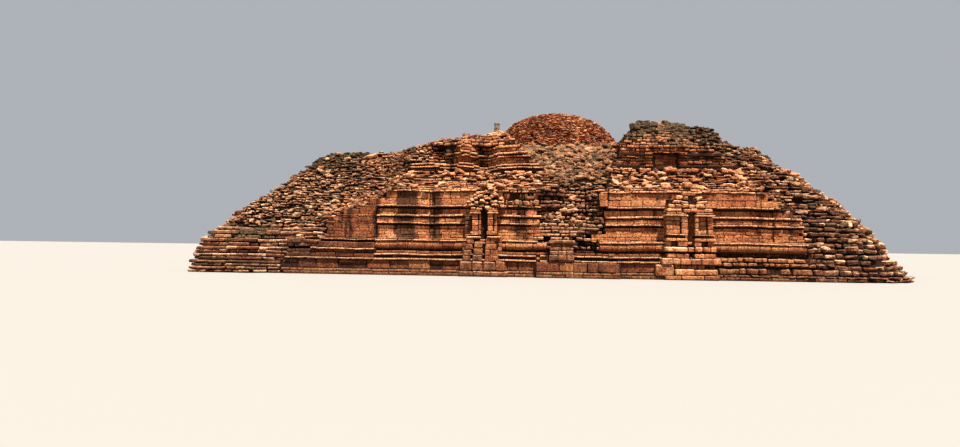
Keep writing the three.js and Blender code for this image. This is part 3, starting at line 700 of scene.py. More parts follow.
def jag(side, z, end):
    """How ragged the edge of the sound masonry is at one course."""
    return 0.55 * math.sin(z * 5.3 + side * 1.7 + end * 2.9) + 0.3 * math.sin(z * 11.7 + end)


for side in range(4):
    kind = side % 2
    for ci, (z0, z1, face, tmpl, lens, cham, pale, alt, dirt) in enumerate(SOUND_ROWS):
        zm = (z0 + z1) / 2
        lo, hi = lerp(SOUND[kind]["left"], zm) + jag(side, zm, 0) * 0.6, lerp(SOUND[kind]["right"], zm) + jag(side, zm, 1) * 0.6
        keep = ("SK" if 1.4 < z0 and z1 < 3.2 else "SKP") if z1 < 7.95 else "SQ"
        rough = tmpl == "stone"
        patch = 5.9 < z0 < 7.6
        if 0.2 < z0 < 2.3: hi = min(hi, 11.75)
        up = z0 > 7.9
        sh = None
        if alt > 0.05: sh = None
        if patch:  # between the shrine and the stair the dressed skin has fallen off
            lay(side, z0, z1, face - 0.1, "S", (0.34, 0.75), kind="stone", cham=0.09, parity=ci % 2, limits=(-6.3 + 0.5 * jag(side, zm, 2), -2.9), skew=0.13,
                jn=0.1, jr=0.06, gap=0.06, depth=0.34, pale=0.35, hvar=0.2, miss=0.04)
        if up and not rough:
            soft = 25.2 + (face - 25.2) * 0.27
            for at, hi_ in (((3.0, 7.5), (10.1, hi)) if 10.36 < zm < 11.88 else ((3.0, hi),)):
                lay(side, z0, z1, soft, keep, (0.42, 1.0), kind="stone", cham=0.07, parity=ci % 2, limits=(at, hi_), skew=0.07, jn=0.06, jz=0.012, jr=0.04, gap=0.045,
                    depth=0.34, pale=pale * rng.uniform(0.7, 1.0), dirt=dirt * 0.2, hvar=0.2, miss=0.05, clump=0.14)
            if 10.36 < zm < 11.88: lay(side, z0, z1, face, "SQ", (0.7, 1.3), kind="pillow", cham=0.03, parity=ci % 2, limits=(7.5, 10.1), skew=0.02, jn=0.02, jr=0.005, gap=0.02,
                                       depth=0.34, pale=pale * 0.8, dirt=dirt, hvar=0.03)
            hi = 0.0
        for lo_, hi_ in (((lo, -6.4 + 0.5 * jag(side, zm, 2)), (-1.0, hi)) if patch else ((lo, hi),)): lay(side, z0, z1, face, keep, lens, kind=tmpl, cham=cham, parity=ci % 2, limits=(lo_, hi_),
            skew=0.02 if not rough else 0.07, jn=(0.018 if not up else 0.035) if not rough else 0.08, jr=(0.005 if not up else 0.014) if not rough else 0.05,
            gap=0.036 if not rough else 0.05, depth=0.34, pale=pale * rng.uniform(0.8, 1.0), alt=alt, dirt=dirt, hvar=0.03 if not rough else 0.2,
            miss=0.03 if rough and up else 0.0, clump=0.1 if rough and up else 0.0)
        back_up(side, z0, z1, face, keep)
        if rough and up:  # these courses step back, so further rows close their tops
            for row in range(1, 13):
                lay(side, z0, z1, face, keep, lens, kind="pillow", cut=0.58 * row, depth=0.31, cham=0.08, skew=0.12, jn=0.1, jz=0.03, jr=0.07, gap=0.08, parity=(row + ci) % 2,
                    limits=(lo, hi), pale=0.4, hvar=0.25, only_open=(z1 + 0.15) if row > 1 else None, miss=0.04)
    for z0, z1, face, lens, pale, dirt in PLAIN_FOOT:  # the plain wall has no roll: a flat foot under one dark undercut, whose shade is painted in
        lay(side, z0, z1, face, "P", lens, kind="pillow", depth=0.34, cham=0.05, skew=0.02, jn=0.03, jr=0.008, gap=0.036, pale=pale, dirt=dirt, hvar=0.04, parity=int(z0 * 7) % 2)
        back_up(side, z0, z1, face, "P")
    for z0, z1, face, lens, dirt in PLINTH_ROWS:  # right of the shrine the plinth is left only as coarse blocks; its recessed rows are painted dark as shade
        end = lerp(SOUND[kind]["right"], (z0 + z1) / 2) + 0.6
        lay(side, z0, z1, face, "SR", lens, kind="stone", limits=(11.6, end), depth=0.34, cham=0.075 if dirt < 0.5 else 0.04, skew=0.11, jn=0.08, jr=0.05, gap=0.085, sunk=0.05,
            pale=0.3 if dirt < 0.5 else 0.0, dirt=dirt, hvar=0.1, parity=int(z0 * 7) % 2)
        back_up(side, z0, z1, face, "SR")
    for ci, (z0, z1, face) in enumerate(LEDGE_ROWS):
        for row in range(4):
            lay(side, z0, z1, face, "S", (0.38, 1.05), kind="stone" if row < (1 if side else 2) else "pillow", cut=0.54 * row, depth=0.3, cham=0.07, skew=0.09, jn=0.13, jz=0.03, jr=0.07,
                gap=0.10, miss=0.13 if row == 0 else 0.1, parity=ci % 2, only_open=(z1 + 0.15) if row else None, hvar=0.3, sunk=0.16, clump=0.18)
        back_up(side, z0, z1, face, "S", cut=0.45, drop=0.1)
    for zones, levels in (("L", BIG_LEVELS if kind else (RUBBLE_LEVELS if side else FINE_LEVELS)), ("R", RUBBLE_LEVELS if kind else BIG_LEVELS)):
        big, fine = levels is BIG_LEVELS, levels is FINE_LEVELS
        for ci, (z0, z1) in enumerate(zip(levels[:-1], levels[1:])):
            zm = (z0 + z1) / 2
            face = face_of(zm)
            low, large = zm < (4.1 if fine else 2.3) and not big, big and zm < 5.2
            keep = zones if big else zones + "C"
            if 7.7 <= z0 < 11.9 and not big: keep += "B"
            zq = zm
            if low:  # the lowest courses rise in pairs, so broad treads show
                pr = ci - ci % 2
                zq = (levels[pr] + levels[pr + 1]) / 2
            if low: style = dict(lens=(0.6, 2.0), cham=0.095, skew=0.07, jn=0.08, jz=0.012, jr=0.03, gap=0.055, hvar=0.14, sunk=0.0, clump=0.08)
            elif large: style = dict(lens=(0.5, 1.15), cham=0.12, skew=0.13, jn=0.12, jz=0.02, jr=0.06, gap=0.085, hvar=0.16, sunk=0.08, clump=0.12)
            elif big and zm < 9.9: style = dict(lens=(0.45, 1.25), cham=0.075, skew=0.11, jn=0.14, jz=0.035, jr=0.075, gap=0.085, hvar=0.28, sunk=0.13, clump=0.16)
            elif fine and zm > 4.6: style = dict(lens=(0.24, 0.66), cham=0.065, skew=0.17, jn=0.13, jz=0.05, jr=0.14, gap=0.08, hvar=0.3, sunk=0.13, clump=0.15)
            else: style = dict(lens=(0.32, 0.84), cham=0.085, skew=0.17, jn=0.14, jz=0.055, jr=0.125, gap=0.105, hvar=0.3, sunk=0.13, clump=0.15)
            for row in range(5 if zm < 11.5 else 13):
                cut = 0.52 * row - (0.12 if low and zm > 0.5 else 0.0)
                lay(side, z0, z1, face, keep, kind="stone" if (row == 0 and not (fine and zm > 4.6)) or (large and row == 1) else "pillow", cut=cut, depth=0.3, points=chain(side, zq, face, cut),
                    miss=0.0 if low else (0.05 if row == 0 else 0.06), parity=ci % 2, only_open=(z1 + 0.15) if row else None, **style)
            back_up(side, z0, z1, face, keep, cut=0.5, drop=0.1)
    for ci, (z0, z1) in enumerate(zip(STAIR_LEVELS[:-1], STAIR_LEVELS[1:])):
        zm = (z0 + z1) / 2
        steps = 3.1 < zm < 4.9
        for row in range(2):
            lay(side, z0, z1, face_of(zm), "T", (0.45, 1.3) if steps else (0.38, 0.66), kind="stone", cut=0.5 * row, depth=0.28,
                cham=0.085 if steps else 0.11, skew=0.08 if steps else 0.12, jn=0.09 if steps else 0.10, jz=0.015 if steps else 0.025, jr=0.04 if steps else 0.07,
                gap=0.05 if steps else 0.08, miss=0.02 if steps else 0.03, parity=ci % 2, only_open=(z1 + 0.1) if row else None, hvar=0.12 if steps else 0.25,
                sunk=0.03 if steps else 0.07, pale=0.35 + 0.4 * rng.random() if steps else None, out=(0.6 * (4.75 - zm) / 1.5) if steps else 0.0, top_out=0.6 if steps else 0.24)
        back_up(side, z0, z1, face_of(zm), "T", cut=0.4, drop=0.08)
    # the block at the foot of the stair, in five courses
    nd = f"{SIDES[side]}_stair_lower"
    for z0, z1, n, a, b in ((1.5, 1.95, 32.5, -2.5, -0.35), (1.95, 2.3, 32.42, -2.45, -0.4), (2.3, 2.62, 32.3, -2.45, -0.4), (2.62, 2.95, 32.22, -2.4, -0.45), (2.95, 3.24, 32.4, -2.55, -0.3)):
        cuts = sorted([a, b] + [a + (b - a) * k for k in ((0.36, 0.7) if z0 < 2.2 else (0.5,))])
        for p, q in zip(cuts[:-1], cuts[1:]):
            x, y = from_side((p + q) / 2, n - 0.5 + rng.normal(0, 0.02), side)
            ux, uy = from_side(1, 0, side)
            add("stone", nd + "_dressed", (x, y, (z0 + z1) / 2), (ux, uy), ((q - p) / 2 - 0.015, (z1 - z0) / 2 - 0.012, 0.5), 0.05, 0.03, (rng.normal(0, 0.01), 0, 0),
                (0.1 + 0.3 * rng.random(), 0.05, 0.3, 0.35 + 0.3 * rng.random()))

# ------------------------------------------------------------------ the crest, its inner bank and loose stones
CREST = {0: [(13.9, 14.5, 23.5, 17.6, -8.7, 16.0, 22.5), (14.5, 15.1, 22.7, 18.7, 0, 15.2, 22.7), (15.1, 15.6, 21.7, 19.8, 0, 11.6, 21.7)],
         1: [(13.9, 14.5, 23.0, 17.6, -8.0, 0, 23.0)]}


def crest_top(side, t, n):
    """Height of the crest bank over the terrace at one place of a side."""
    best = 0.0
    for z0, z1, outer, inner, left, right, outer_l in CREST[side % 2]:
        bl, br = breach((z0 + z1) / 2)
        br += 0.4
        if not (left < t < right) or -bl < t < br: continue
        o = outer_l if t < 0 else outer
        edge = min(1.0, min(o - n, (n - inner) * 0.9) / 0.7)
        end = min(1.0, min((right - t), (t - left)) / 1.4, (t - br if t > 0 else -bl - t) / 0.5)
        if edge > 0 and end > 0: best = max(best, z0 - 13.9 + (z1 - z0) * min(edge, end))
    return best


def stone_at(node, x, y, z, size, tilt=0.25, col=None, flat=0.62, cham=0.1):
    a = rng.uniform(0, math.pi)
    w = size * rng.uniform(0.75, 1.3)
    add("stone", node, (x, y, z), (math.cos(a), math.sin(a)), (w * 0.62, w * flat * rng.uniform(0.38, 0.5), w * rng.uniform(0.38, 0.55)),
        cham * rng.uniform(0.7, 1.4), 0.12, (0, rng.normal(0, tilt), rng.normal(0, tilt)), col or (rng.random(), 0.4, 0.0, 0.4))


for side in range(4):
    for gx in np.arange(-11.0, 17.0, 0.54):
        for gn in np.arange(17.8, 23.6, 0.5):
            t, n = gx + rng.uniform(-0.2, 0.2), gn + rng.uniform(-0.16, 0.16)
            h = crest_top(side, t, n)
            if h < 0.12: continue
            x, y = from_side(t, n, side)
            if inset_of((x, y), 13.8)[0] < 0.3: continue
            lich = (0.3 if t < 0 else (1.0 if side == 0 else 0.6)) + 0.35 * noise2(x * 0.8, y * 0.8, 2.0) + (0.3 if rng.random() < 0.25 else 0)
            stone_at(node_at(side, t, 14.2), x, y, 13.9 + h - 0.13 + rng.normal(0, 0.07), 0.62, 0.16,
                     (rng.random(), min(1, max(0, lich)), 0.05, 0.3 + 0.4 * rng.random()), flat=0.72)
            if h > 0.55:  # a second layer keeps the bank closed
                add("box", node_at(side, t, 14.2), (x, y, 13.9 + h - 0.48), (math.cos(gx), math.sin(gx)), (0.36, 0.2, 0.32), 0, 0.05, (0, 0, 0), (rng.random(), 0.5, 0.4, 0.1))
    # rough courses on the outer face of the crest
    for z0, z1, outer, inner, left, right, outer_l in CREST[side % 2]:
        for k, (a, b) in enumerate(((z0, (z0 + z1) / 2), ((z0 + z1) / 2, z1))):
            bl, br = breach((z0 + z1) / 2)
            for lo, hi, o in ((left + 0.3, -bl - 0.2, outer_l), (br + 0.6, right - 0.5, outer)):
                if hi - lo < 1: continue
                if hi - lo < 2.6: continue
                rim_ = chain(side, 13.75, 24.3)
                line = []
                for t in np.linspace(lo, hi, max(4, int((hi - lo) / 0.9))):
                    drop = 0.5 * max(0.0, 1 - (t - lo) / 1.2) + 0.8 * max(0.0, 1 - (hi - t) / 1.4)
                    line.append((float(t), min(o - 0.12 - 0.3 * k - drop, float(np.interp(t, [p[0] for p in rim_], [p[1] for p in rim_])) - 0.15 - 0.45 * (z0 - 13.9) / 0.6 - 0.2 * k), "S"))
                lay(side, a, b, 0, "S", (0.36, 0.85), kind="stone", points=line, depth=0.3, cham=0.08, skew=0.13, jn=0.12, jz=0.03, jr=0.08, gap=0.09,
                    miss=0.07, hvar=0.3, sunk=0.1, clump=0.15, parity=k)


    # stones that fell from the upper wall lie along its foot
    for t in np.arange(3.4, 15.4, 0.34):
        if rng.random() < 0.3: continue
        t += rng.uniform(-0.15, 0.15)
        x, y = from_side(t, 25.62 + 0.4 * rng.random(), side)
        stone_at(node_at(side, t, 10.1), x, y, 9.99 + 0.08 * rng.random(), rng.uniform(0.34, 0.58), 0.22, (0.15 + 0.6 * rng.random(), 0.3 * rng.random(), 0.05, 0.7 * rng.random()), flat=0.8)

# ------------------------------------------------------------------ shrines
# a member is darkened by an amount that is real dirt on some and painted shade on the recessed bands and inner members
def pier(side, nd, t0, t1, z0, z1, n, high=0.34, wide=0.8, back=30.1, cham=0.045, skew=0.03, jn=0.015, rot=0.008, pale=0.3, dirt=0.08,
         foot=None, shade=(0.35, 0.8), kind="stone", skip=0.0):
    """One member of a shrine, laid in courses; foot gives its two edges at the bottom when it widens downwards."""
    k = max(1, round((z1 - z0) / high))
    for c in range(k):
        a, b = z0 + (z1 - z0) * c / k, z0 + (z1 - z0) * (c + 1) / k
        f = (c + 0.5) / k
        lo, hi = (t0, t1) if foot is None else (foot[0] + (t0 - foot[0]) * f, foot[1] + (t1 - foot[1]) * f)
        m = max(1, round((hi - lo) / wide + (0.45 if c % 2 else -0.2)))
        cuts = [lo + (hi - lo) * (i + (0 if i in (0, m) else rng.uniform(-0.2, 0.2))) / m for i in range(m + 1)]
        for p, q in zip(cuts[:-1], cuts[1:]):
            if rng.random() < skip: continue
            fr = n + rng.normal(0, jn)
            x, y = from_side((p + q) / 2, (fr + back) / 2, side)
            ux, uy = from_side(1, 0, side)
            add(kind, nd, (x, y, (a + b) / 2), (ux, uy), (max(0.03, (q - p) / 2 - 0.02), (b - a) / 2 - 0.019, (fr - back) / 2), cham * rng.uniform(0.7, 1.2), skew,
                (rng.normal(0, rot), rng.normal(0, rot), rng.normal(0, rot * 0.5)),
                (rng.uniform(*shade), max(0.0, 0.12 + 0.2 * noise2(p * 1.3, a, 4.0)), min(1, dirt + 0.3 * rng.random() ** 3), pale * rng.uniform(0.6, 1.2)))


# a box coloured dark as painted shade: it fills niches and the hollows behind stones
def painted_shade_box(side, nd, t0, t1, z0, z1, n0, n1, col=(0.05, 0.0, 1.0, 0.0)):
    x, y = from_side((t0 + t1) / 2, (n0 + n1) / 2, side)
    ux, uy = from_side(1, 0, side)
    add("box", nd, (x, y, (z0 + z1) / 2), (ux, uy), ((t1 - t0) / 2, (z1 - z0) / 2, (n1 - n0) / 2), 0, 0, (0, 0, 0), col)


for side in range(4):
    # ---- the shrine right of the stair
    nd = f"{SIDES[side]}_shrine_right"
    pier(side, nd, 7.35, 11.95, 0.0, 0.36, 32.25, high=0.36, wide=1.5, pale=0.35, cham=0.06, dirt=0.3)
    pier(side, nd, 8.2, 11.8, 0.36, 0.9, 32.15, high=0.54, wide=1.4, pale=0.8, cham=0.08, dirt=0.15)
    pier(side, nd, 6.6, 8.16, 0.3, 1.26, 31.95, high=0.96, wide=1.6, pale=0.7, cham=0.08, dirt=0.25)
    pier(side, nd, 8.25, 11.7, 0.9, 1.26, 31.75, high=0.36, wide=0.5, dirt=0.4, skew=0.07, jn=0.06, rot=0.03, skip=0.08)
    pier(side, nd, 7.1, 12.05, 1.26, 1.82, 32.12, high=0.56, wide=0.85, pale=0.7, cham=0.085)
    for a, b in ((7.6, 9.42), (9.88, 11.7)):
        pier(side, nd, a, b, 1.82, 2.24, 31.85, high=0.42, wide=0.7, cham=0.06)
        pier(side, nd, a + 0.1, b - 0.08, 2.24, 2.36, 31.45, high=0.12, wide=1.2, dirt=0.95, pale=0)
    painted_shade_box(side, nd, 9.3, 10.0, 1.82, 2.36, 30.1, 31.0)
    pier(side, nd, 7.35, 9.3, 2.36, 2.8, 32.05, high=0.44, wide=1.2, pale=0.9, cham=0.09)
    pier(side, nd, 9.36, 9.86, 2.36, 2.78, 31.9, high=0.42, wide=0.9, pale=0.6, cham=0.07)
    pier(side, nd, 9.92, 10.55, 2.36, 2.8, 31.98, high=0.44, wide=0.9, pale=0.6, cham=0.07)
    pier(side, nd, 10.6, 11.75, 2.36, 2.8, 31.8, high=0.44, wide=0.6, pale=0.5, cham=0.06)
    for a, b, n in ((7.55, 8.0, 31.55), (8.5, 9.3, 31.75), (9.9, 10.5, 31.75), (11.05, 11.6, 31.55), (8.0, 8.5, 31.2), (10.5, 11.05, 31.2)):
        pier(side, nd, a, b, 2.82, 3.26, n, high=0.44, wide=0.9, dirt=0.5 if n < 31.4 else 0.05)
    for a, b in ((7.5, 9.31), (9.89, 11.7)):
        pier(side, nd, a, b, 3.26, 3.54, 31.8, high=0.3, wide=0.9, pale=0.5)
        pier(side, nd, a + 0.1, b - 0.1, 3.54, 3.76, 31.5, high=0.3, wide=0.9, dirt=0.7, pale=0)
        pier(side, nd, a - 0.02, b, 3.76, 3.9, 31.88, high=0.3, wide=1.2, pale=1.0)
    pier(side, nd, 9.34, 9.86, 3.0, 3.28, 31.35, high=0.3, wide=0.9, pale=0.5)
    pier(side, nd, 7.52, 8.72, 3.9, 5.4, 31.55, high=0.37, wide=0.75)
    pier(side, nd, 8.76, 9.3, 3.9, 5.4, 31.8, high=0.5, wide=0.9, pale=0.5)
    pier(side, nd, 9.9, 10.22, 3.9, 5.4, 31.8, high=0.5, wide=0.9, pale=0.5)
    pier(side, nd, 10.24, 11.0, 3.9, 5.4, 31.3, high=0.37, wide=0.9, dirt=0.15)
    pier(side, nd, 11.03, 11.5, 3.9, 5.4, 31.6, high=0.42, wide=0.9)
    for a, b in ((7.4, 9.32), (9.88, 11.6)):
        pier(side, nd, a, b, 5.4, 5.56, 31.92, high=0.2, wide=0.8, pale=0.9)
        pier(side, nd, a + 0.15, b - 0.1, 5.56, 5.76, 31.7, high=0.2, wide=0.8, pale=0.3)
    painted_shade_box(side, nd, 9.2, 10.0, 2.56, 5.8, 30.1, 30.84, (0.42, 0.1, 0.3, 0.1))
    pier(side, nd, 7.55, 11.5, 5.76, 6.1, 31.65, wide=0.62, cham=0.07, skew=0.08, jn=0.07, rot=0.05, pale=0.6)
    painted_shade_box(side, nd, 7.8, 11.2, 5.76, 6.9, 30.1, 31.1)
    lo, hi, z = 7.75, 11.35, 6.1
    while z < 7.75:
        h = rng.uniform(0.32, 0.4)
        if 6.45 < z < 7.1:
            pier(side, nd, lo, 9.55, z, z + h, 31.55 - 0.28 * (z - 6.0), high=h, wide=0.6, cham=0.08, skew=0.1, jn=0.1, rot=0.07, pale=0.7)
            pier(side, nd, 10.2, hi, z, z + h, 31.5 - 0.28 * (z - 6.0), high=h, wide=0.6, cham=0.08, skew=0.1, jn=0.1, rot=0.07, pale=0.7)
        else:
            pier(side, nd, lo, hi, z, z + h, 31.5 - 0.28 * (z - 6.0), high=h, wide=0.6, cham=0.08, skew=0.1, jn=0.1, rot=0.07, pale=0.7, skip=0.05)
        lo += rng.uniform(0.2, 0.42); hi -= rng.uniform(0.25, 0.5)
        z += h + 0.01
    pier(side, nd, 9.2, 9.95, z, z + 0.5, 30.95, high=0.5, wide=0.9, cham=0.09, skew=0.1, rot=0.08, pale=0.7)

    # ---- the shrine left of the stair, more ruined
    nd = f"{SIDES[side]}_shrine_left"
    worn = dict(shade=(0.06, 0.42), skew=0.05, jn=0.04)
    pier(side, nd, -10.35, -6.0, 0.0, 0.44, 32.2, high=0.44, wide=1.5, pale=0.5, cham=0.06, dirt=0.35, **worn)
    pier(side, nd, -10.25, -8.25, 0.44, 1.3, 31.98, high=0.86, wide=1.1, pale=0.6, cham=0.08, dirt=0.3, **worn)
    pier(side, nd, -8.2, -6.3, 0.44, 1.3, 31.9, high=0.86, wide=0.95, pale=0.6, cham=0.08, dirt=0.3, **worn)
    pier(side, nd, -9.62, -9.02, 1.3, 3.26, 31.8, high=0.5, wide=0.8, foot=(-10.12, -9.35), pale=0.6, dirt=0.2, **worn)
    pier(side, nd, -8.98, -8.3, 1.3, 3.0, 31.8, high=0.56, wide=0.9, foot=(-9.18, -8.3), pale=0.4, dirt=0.2, **worn)
    pier(side, nd, -8.05, -7.25, 1.3, 3.26, 31.75, high=0.49, wide=0.8, foot=(-8.05, -6.8), pale=0.5, dirt=0.2, **worn)
    pier(side, nd, -10.15, -8.9, 1.02, 3.3, 31.1, high=0.38, wide=0.7, dirt=0.6, pale=0.0)
    pier(side, nd, -8.3, -8.0, 1.02, 2.76, 31.15, high=0.38, wide=0.7, dirt=0.7, pale=0.0)
    pier(side, nd, -7.25, -6.6, 1.02, 3.3, 31.1, high=0.38, wide=0.8, dirt=0.35, pale=0.1)
    for a, b in ((-9.75, -8.5), (-7.92, -6.75)):
        pier(side, nd, a, b, 3.26, 3.46, 31.9, high=0.2, wide=0.8, pale=0.9)
        pier(side, nd, a + 0.1, b - 0.1, 3.46, 3.56, 31.5, high=0.2, wide=0.9, dirt=0.8, pale=0.0)
    pier(side, nd, -9.42, -8.66, 3.56, 3.87, 31.8, high=0.2, wide=0.9, pale=0.6)
    pier(side, nd, -8.0, -7.05, 3.56, 3.87, 31.8, high=0.2, wide=0.9, pale=0.6)
    pier(side, nd, -9.31, -8.74, 3.87, 5.42, 31.62, high=0.45, wide=0.9, pale=0.4)
    pier(side, nd, -8.74, -8.5, 3.56, 5.42, 31.3, high=0.5, wide=0.9, dirt=0.2)
    pier(side, nd, -7.92, -7.42, 3.87, 5.42, 31.68, high=0.45, wide=0.9, pale=0.5)
    pier(side, nd, -7.38, -7.08, 3.87, 5.42, 31.4, high=0.5, wide=0.9)
    pier(side, nd, -9.95, -9.35, 3.3, 5.2, 31.0, high=0.38, wide=0.8, dirt=0.3, **worn)
    for a, b in ((-9.5, -8.48), (-7.94, -6.95)):
        pier(side, nd, a, b, 5.42, 5.56, 31.86, high=0.2, wide=0.8, pale=0.9)
        pier(side, nd, a + 0.06, b - 0.06, 5.56, 5.72, 31.7, high=0.2, wide=0.8, pale=0.4)
    pier(side, nd, -8.5, -7.92, 2.76, 3.0, 31.35, high=0.3, wide=0.9, pale=0.6)
    painted_shade_box(side, nd, -8.7, -7.8, 2.56, 5.98, 30.1, 30.84)
    pier(side, nd, -9.4, -8.36, 5.72, 6.0, 31.6, wide=0.55, cham=0.06, skew=0.07, jn=0.05, rot=0.04, pale=0.5)
    pier(side, nd, -8.04, -7.0, 5.72, 6.0, 31.6, wide=0.55, cham=0.06, skew=0.07, jn=0.05, rot=0.04, pale=0.5)
    painted_shade_box(side, nd, -9.2, -7.2, 6.0, 6.9, 30.1, 31.0)
    lo, hi, z = -9.95, -6.35, 6.0
    while z < 7.9:
        h = rng.uniform(0.24, 0.32)
        pier(side, nd, lo, hi, z, z + h, 31.6 - 0.3 * (z - 6.0), high=h, wide=0.43, cham=0.08, skew=0.14, jn=0.15, rot=0.12, pale=0.75, skip=0.08, shade=(0.45, 1.0))
        lo += rng.uniform(0.08, 0.32); hi -= rng.uniform(0.1, 0.3)
        z += h + 0.01

# ------------------------------------------------------------------ heights of the earth
def ground_height(x, y):
    """Height of the earth on top, from the centre out to the rims and down the breaches."""
    h = np.full(x.shape, 13.86)
    h += 0.12 * np.sin(0.9 * x + 0.3) * np.cos(0.8 * y) + 0.07 * np.sin(2.3 * x + 1.3 * y) + 0.05 * np.sin(3.7 * y - 2.1 * x)
    r = np.hypot(x + 0.2, y)
    h += np.clip((10.6 - r) / 2.2, 0, 1) * 0.45
    for side in range(4):
        t, n = to_side(x, y, side)
        ramp = 7.9 + (28.2 - n) / 1.9
        bl = np.maximum(1.6, 2.2 + (ramp - 9.5)); br = np.maximum(2.6, 3.4 + (ramp - 9.5) * 0.45)
        inside = np.minimum(t + bl, br - t)
        k = np.clip(inside / 0.5 + 1.6, 0, 1)
        rut = 0.16 * np.sin(1.9 * t + 0.5 * side + 0.4 * np.sin(n)) + 0.09 * np.sin(2.9 * n + 1.3 * t) + 0.05 * np.sin(6.1 * t + 4.0 * n)
        low = np.minimum(h, ramp + rut - 0.02)
        h = np.where(n > 12, h + (low - h) * k, h)
    return h


# ------------------------------------------------------------------ loose stones on ledges, slopes and in the stairs
def edge_at(side, t, z):
    pts = chain(side, z, face_of(z))
    return float(np.interp(t, [p[0] for p in pts], [p[1] for p in pts]))


strewn = 0
while strewn < 1150:  # rubble strewn over the terrace: round the foot of the mound, along the rims and in patches
    t, n = rng.uniform(-22, 22), rng.uniform(-22, 22)
    r, rim_ = math.hypot(t + 0.3, n), inset_of((t, n), 13.8)[0]
    if r < 8.5 or rim_ < 0.5: continue
    near = math.exp(-(r - 8.5) / 1.1) * 1.5 + math.exp(-(rim_ - 0.5) / 1.3) * 1.3
    if near + 0.55 * noise2(t * 0.9, n * 0.9, 3.3) + rng.uniform(-0.45, 0.35) < 0.25: continue
    strewn += 1
    size = rng.uniform(0.24, 0.5 + 0.35 * min(1.0, near))
    a = rng.uniform(0, math.pi)
    zg = float(ground_height(np.array([t]), np.array([n]))[0])
    add("pillow", "upper_terrace_stones", (t, n, zg + size * 0.08), (math.cos(a), math.sin(a)), (size * 0.6, size * 0.3, size * 0.45), 0.06, 0.1, (0, rng.normal(0, 0.2), rng.normal(0, 0.2)),
        (rng.random(), 0.2 + 0.5 * rng.random(), 0.0, 0.2 + 0.4 * rng.random()))

LEDGE_TOPS = [7.90] + [r[1] for r in LEDGE_ROWS[:-1]]
for side in range(4):
    for k in range(230):  # blocks that lie on the treads of the ledge between the two tiers
        t = rng.uniform(-17.5, 17.0)
        z = LEDGE_TOPS[int(rng.random() ** 1.2 * len(LEDGE_TOPS))]
        bl, br = breach(z + 0.3)
        if -bl - 0.2 < t < br + 0.2: continue
        outer, inner = edge_at(side, t, z - 0.1), edge_at(side, t, z + 0.2)
        n = rng.uniform(min(inner + 0.05, outer - 0.2), outer - 0.12)
        x, y = from_side(t, n, side)
        size = rng.uniform(0.26, 0.62)
        stone_at(node_at(side, t, min(z, 9.8)), x, y, z + size * 0.22, size, 0.22,
                 (rng.random(), 0.1 + 0.3 * rng.random() ** 2, 0.0, 0.3 + 0.5 * rng.random()), cham=0.08)
    for k in range(110):  # stones resting on the broken slopes
        left = rng.random() < 0.45
        z = RUBBLE_LEVELS[rng.integers(9, len(RUBBLE_LEVELS) - 2)]
        kind = side % 2
        t = rng.uniform(-27, lerp(SOUND[kind]["left"], z) - 1.5) if left else rng.uniform(lerp(SOUND[kind]["right"], z) + 1.5, 27)
        outer, inner = edge_at(side, t, z - 0.1), edge_at(side, t, z + 0.2)
        n = rng.uniform(min(inner, outer - 0.15), outer - 0.1)
        x, y = from_side(t, n, side)
        if inset_of((x, y), max(z - 0.2, 0.1))[0] < 0.05: continue
        size = rng.uniform(0.3, 0.66)
        stone_at(node_at(side, t, z), x, y, z + size * 0.2, size, 0.25, (rng.random(), 0.35 + 0.4 * rng.random(), 0.0, 0.3 + 0.5 * rng.random()))
    for k in range(270):  # fallen blocks on the earth of the breach
        z = rng.uniform(9.0, 13.8)
        bl, br = breach(z)
        t = rng.uniform(-bl + 0.1, br - 0.1)
        n = min(29.9, ramp_at(z)) + rng.uniform(-0.2, 0.1)
        x, y = from_side(t, n, side)
        size = rng.uniform(0.22, 0.62)
        zg = float(ground_height(np.array([x]), np.array([y]))[0])
        stone_at(node_at(side, t, z), x, y, zg + size * 0.1, size, 0.3, (0.7 * rng.random(), 0.3 + 0.4 * rng.random(), 0.0, 0.15 + 0.4 * rng.random()))
    for k in range(60):  # stones that slid down the lower stair
        z = rng.uniform(4.4, 7.8)
        t = rng.uniform(-3.3, 2.6)
        n = stair_face(z, False) + rng.uniform(-0.12, 0.14)
        x, y = from_side(t, n, side)
        stone_at(f"{SIDES[side]}_stair_lower", x, y, z, rng.uniform(0.35, 0.62), 0.2, (0.3 + 0.6 * rng.random(), 0.12, 0.05, 0.3 + 0.4 * rng.random()))

# ------------------------------------------------------------------ meshes
def wobble(p):
    """The whole ruin has settled a little: slow waves through every course."""
    x, y, z = p[:, 0], p[:, 1], p[:, 2]
    k = np.clip(z / 3.0, 0, 1)
    q = p.copy()
    q[:, 2] += k * (0.05 * np.sin(0.31 * x + 0.8) * np.cos(0.27 * y) + 0.03 * np.sin(0.83 * x + 0.6 * y + 2.0) + 0.014 * np.sin(2.1 * x - 1.7 * y))
    q[:, 0] += k * 0.03 * np.sin(0.47 * y + 0.9 * z)
    q[:, 1] += k * 0.03 * np.sin(0.43 * x - 0.8 * z + 1.0)
    return q


def make_mesh(name, verts, faces_list, cols, smooth=False):
    """verts in units; faces_list is [(face array, size)]."""
    me = bpy.data.meshes.new(name)
    me.vertices.add(len(verts))
    me.vertices.foreach_set("co", (verts * U).astype(np.float32).ravel())
    loops = np.concatenate([f.ravel() for f in faces_list]).astype(np.int32)
    sizes = np.concatenate([np.full(len(f), f.shape[1], np.int32) for f in faces_list])
    starts = np.concatenate([[0], np.cumsum(sizes)[:-1]]).astype(np.int32)
    me.loops.add(len(loops)); me.loops.foreach_set("vertex_index", loops)
    me.polygons.add(len(sizes)); me.polygons.foreach_set("loop_start", starts)
    me.polygons.foreach_set("use_smooth", np.full(len(sizes), smooth))
    me.update(calc_edges=True)
    at = me.attributes.new("blk", "FLOAT_COLOR", "POINT")
    at.data.foreach_set("color", cols.astype(np.float32).ravel())
    ob = bpy.data.objects.new(name, me)
    bpy.context.scene.collection.objects.link(ob)
    return ob


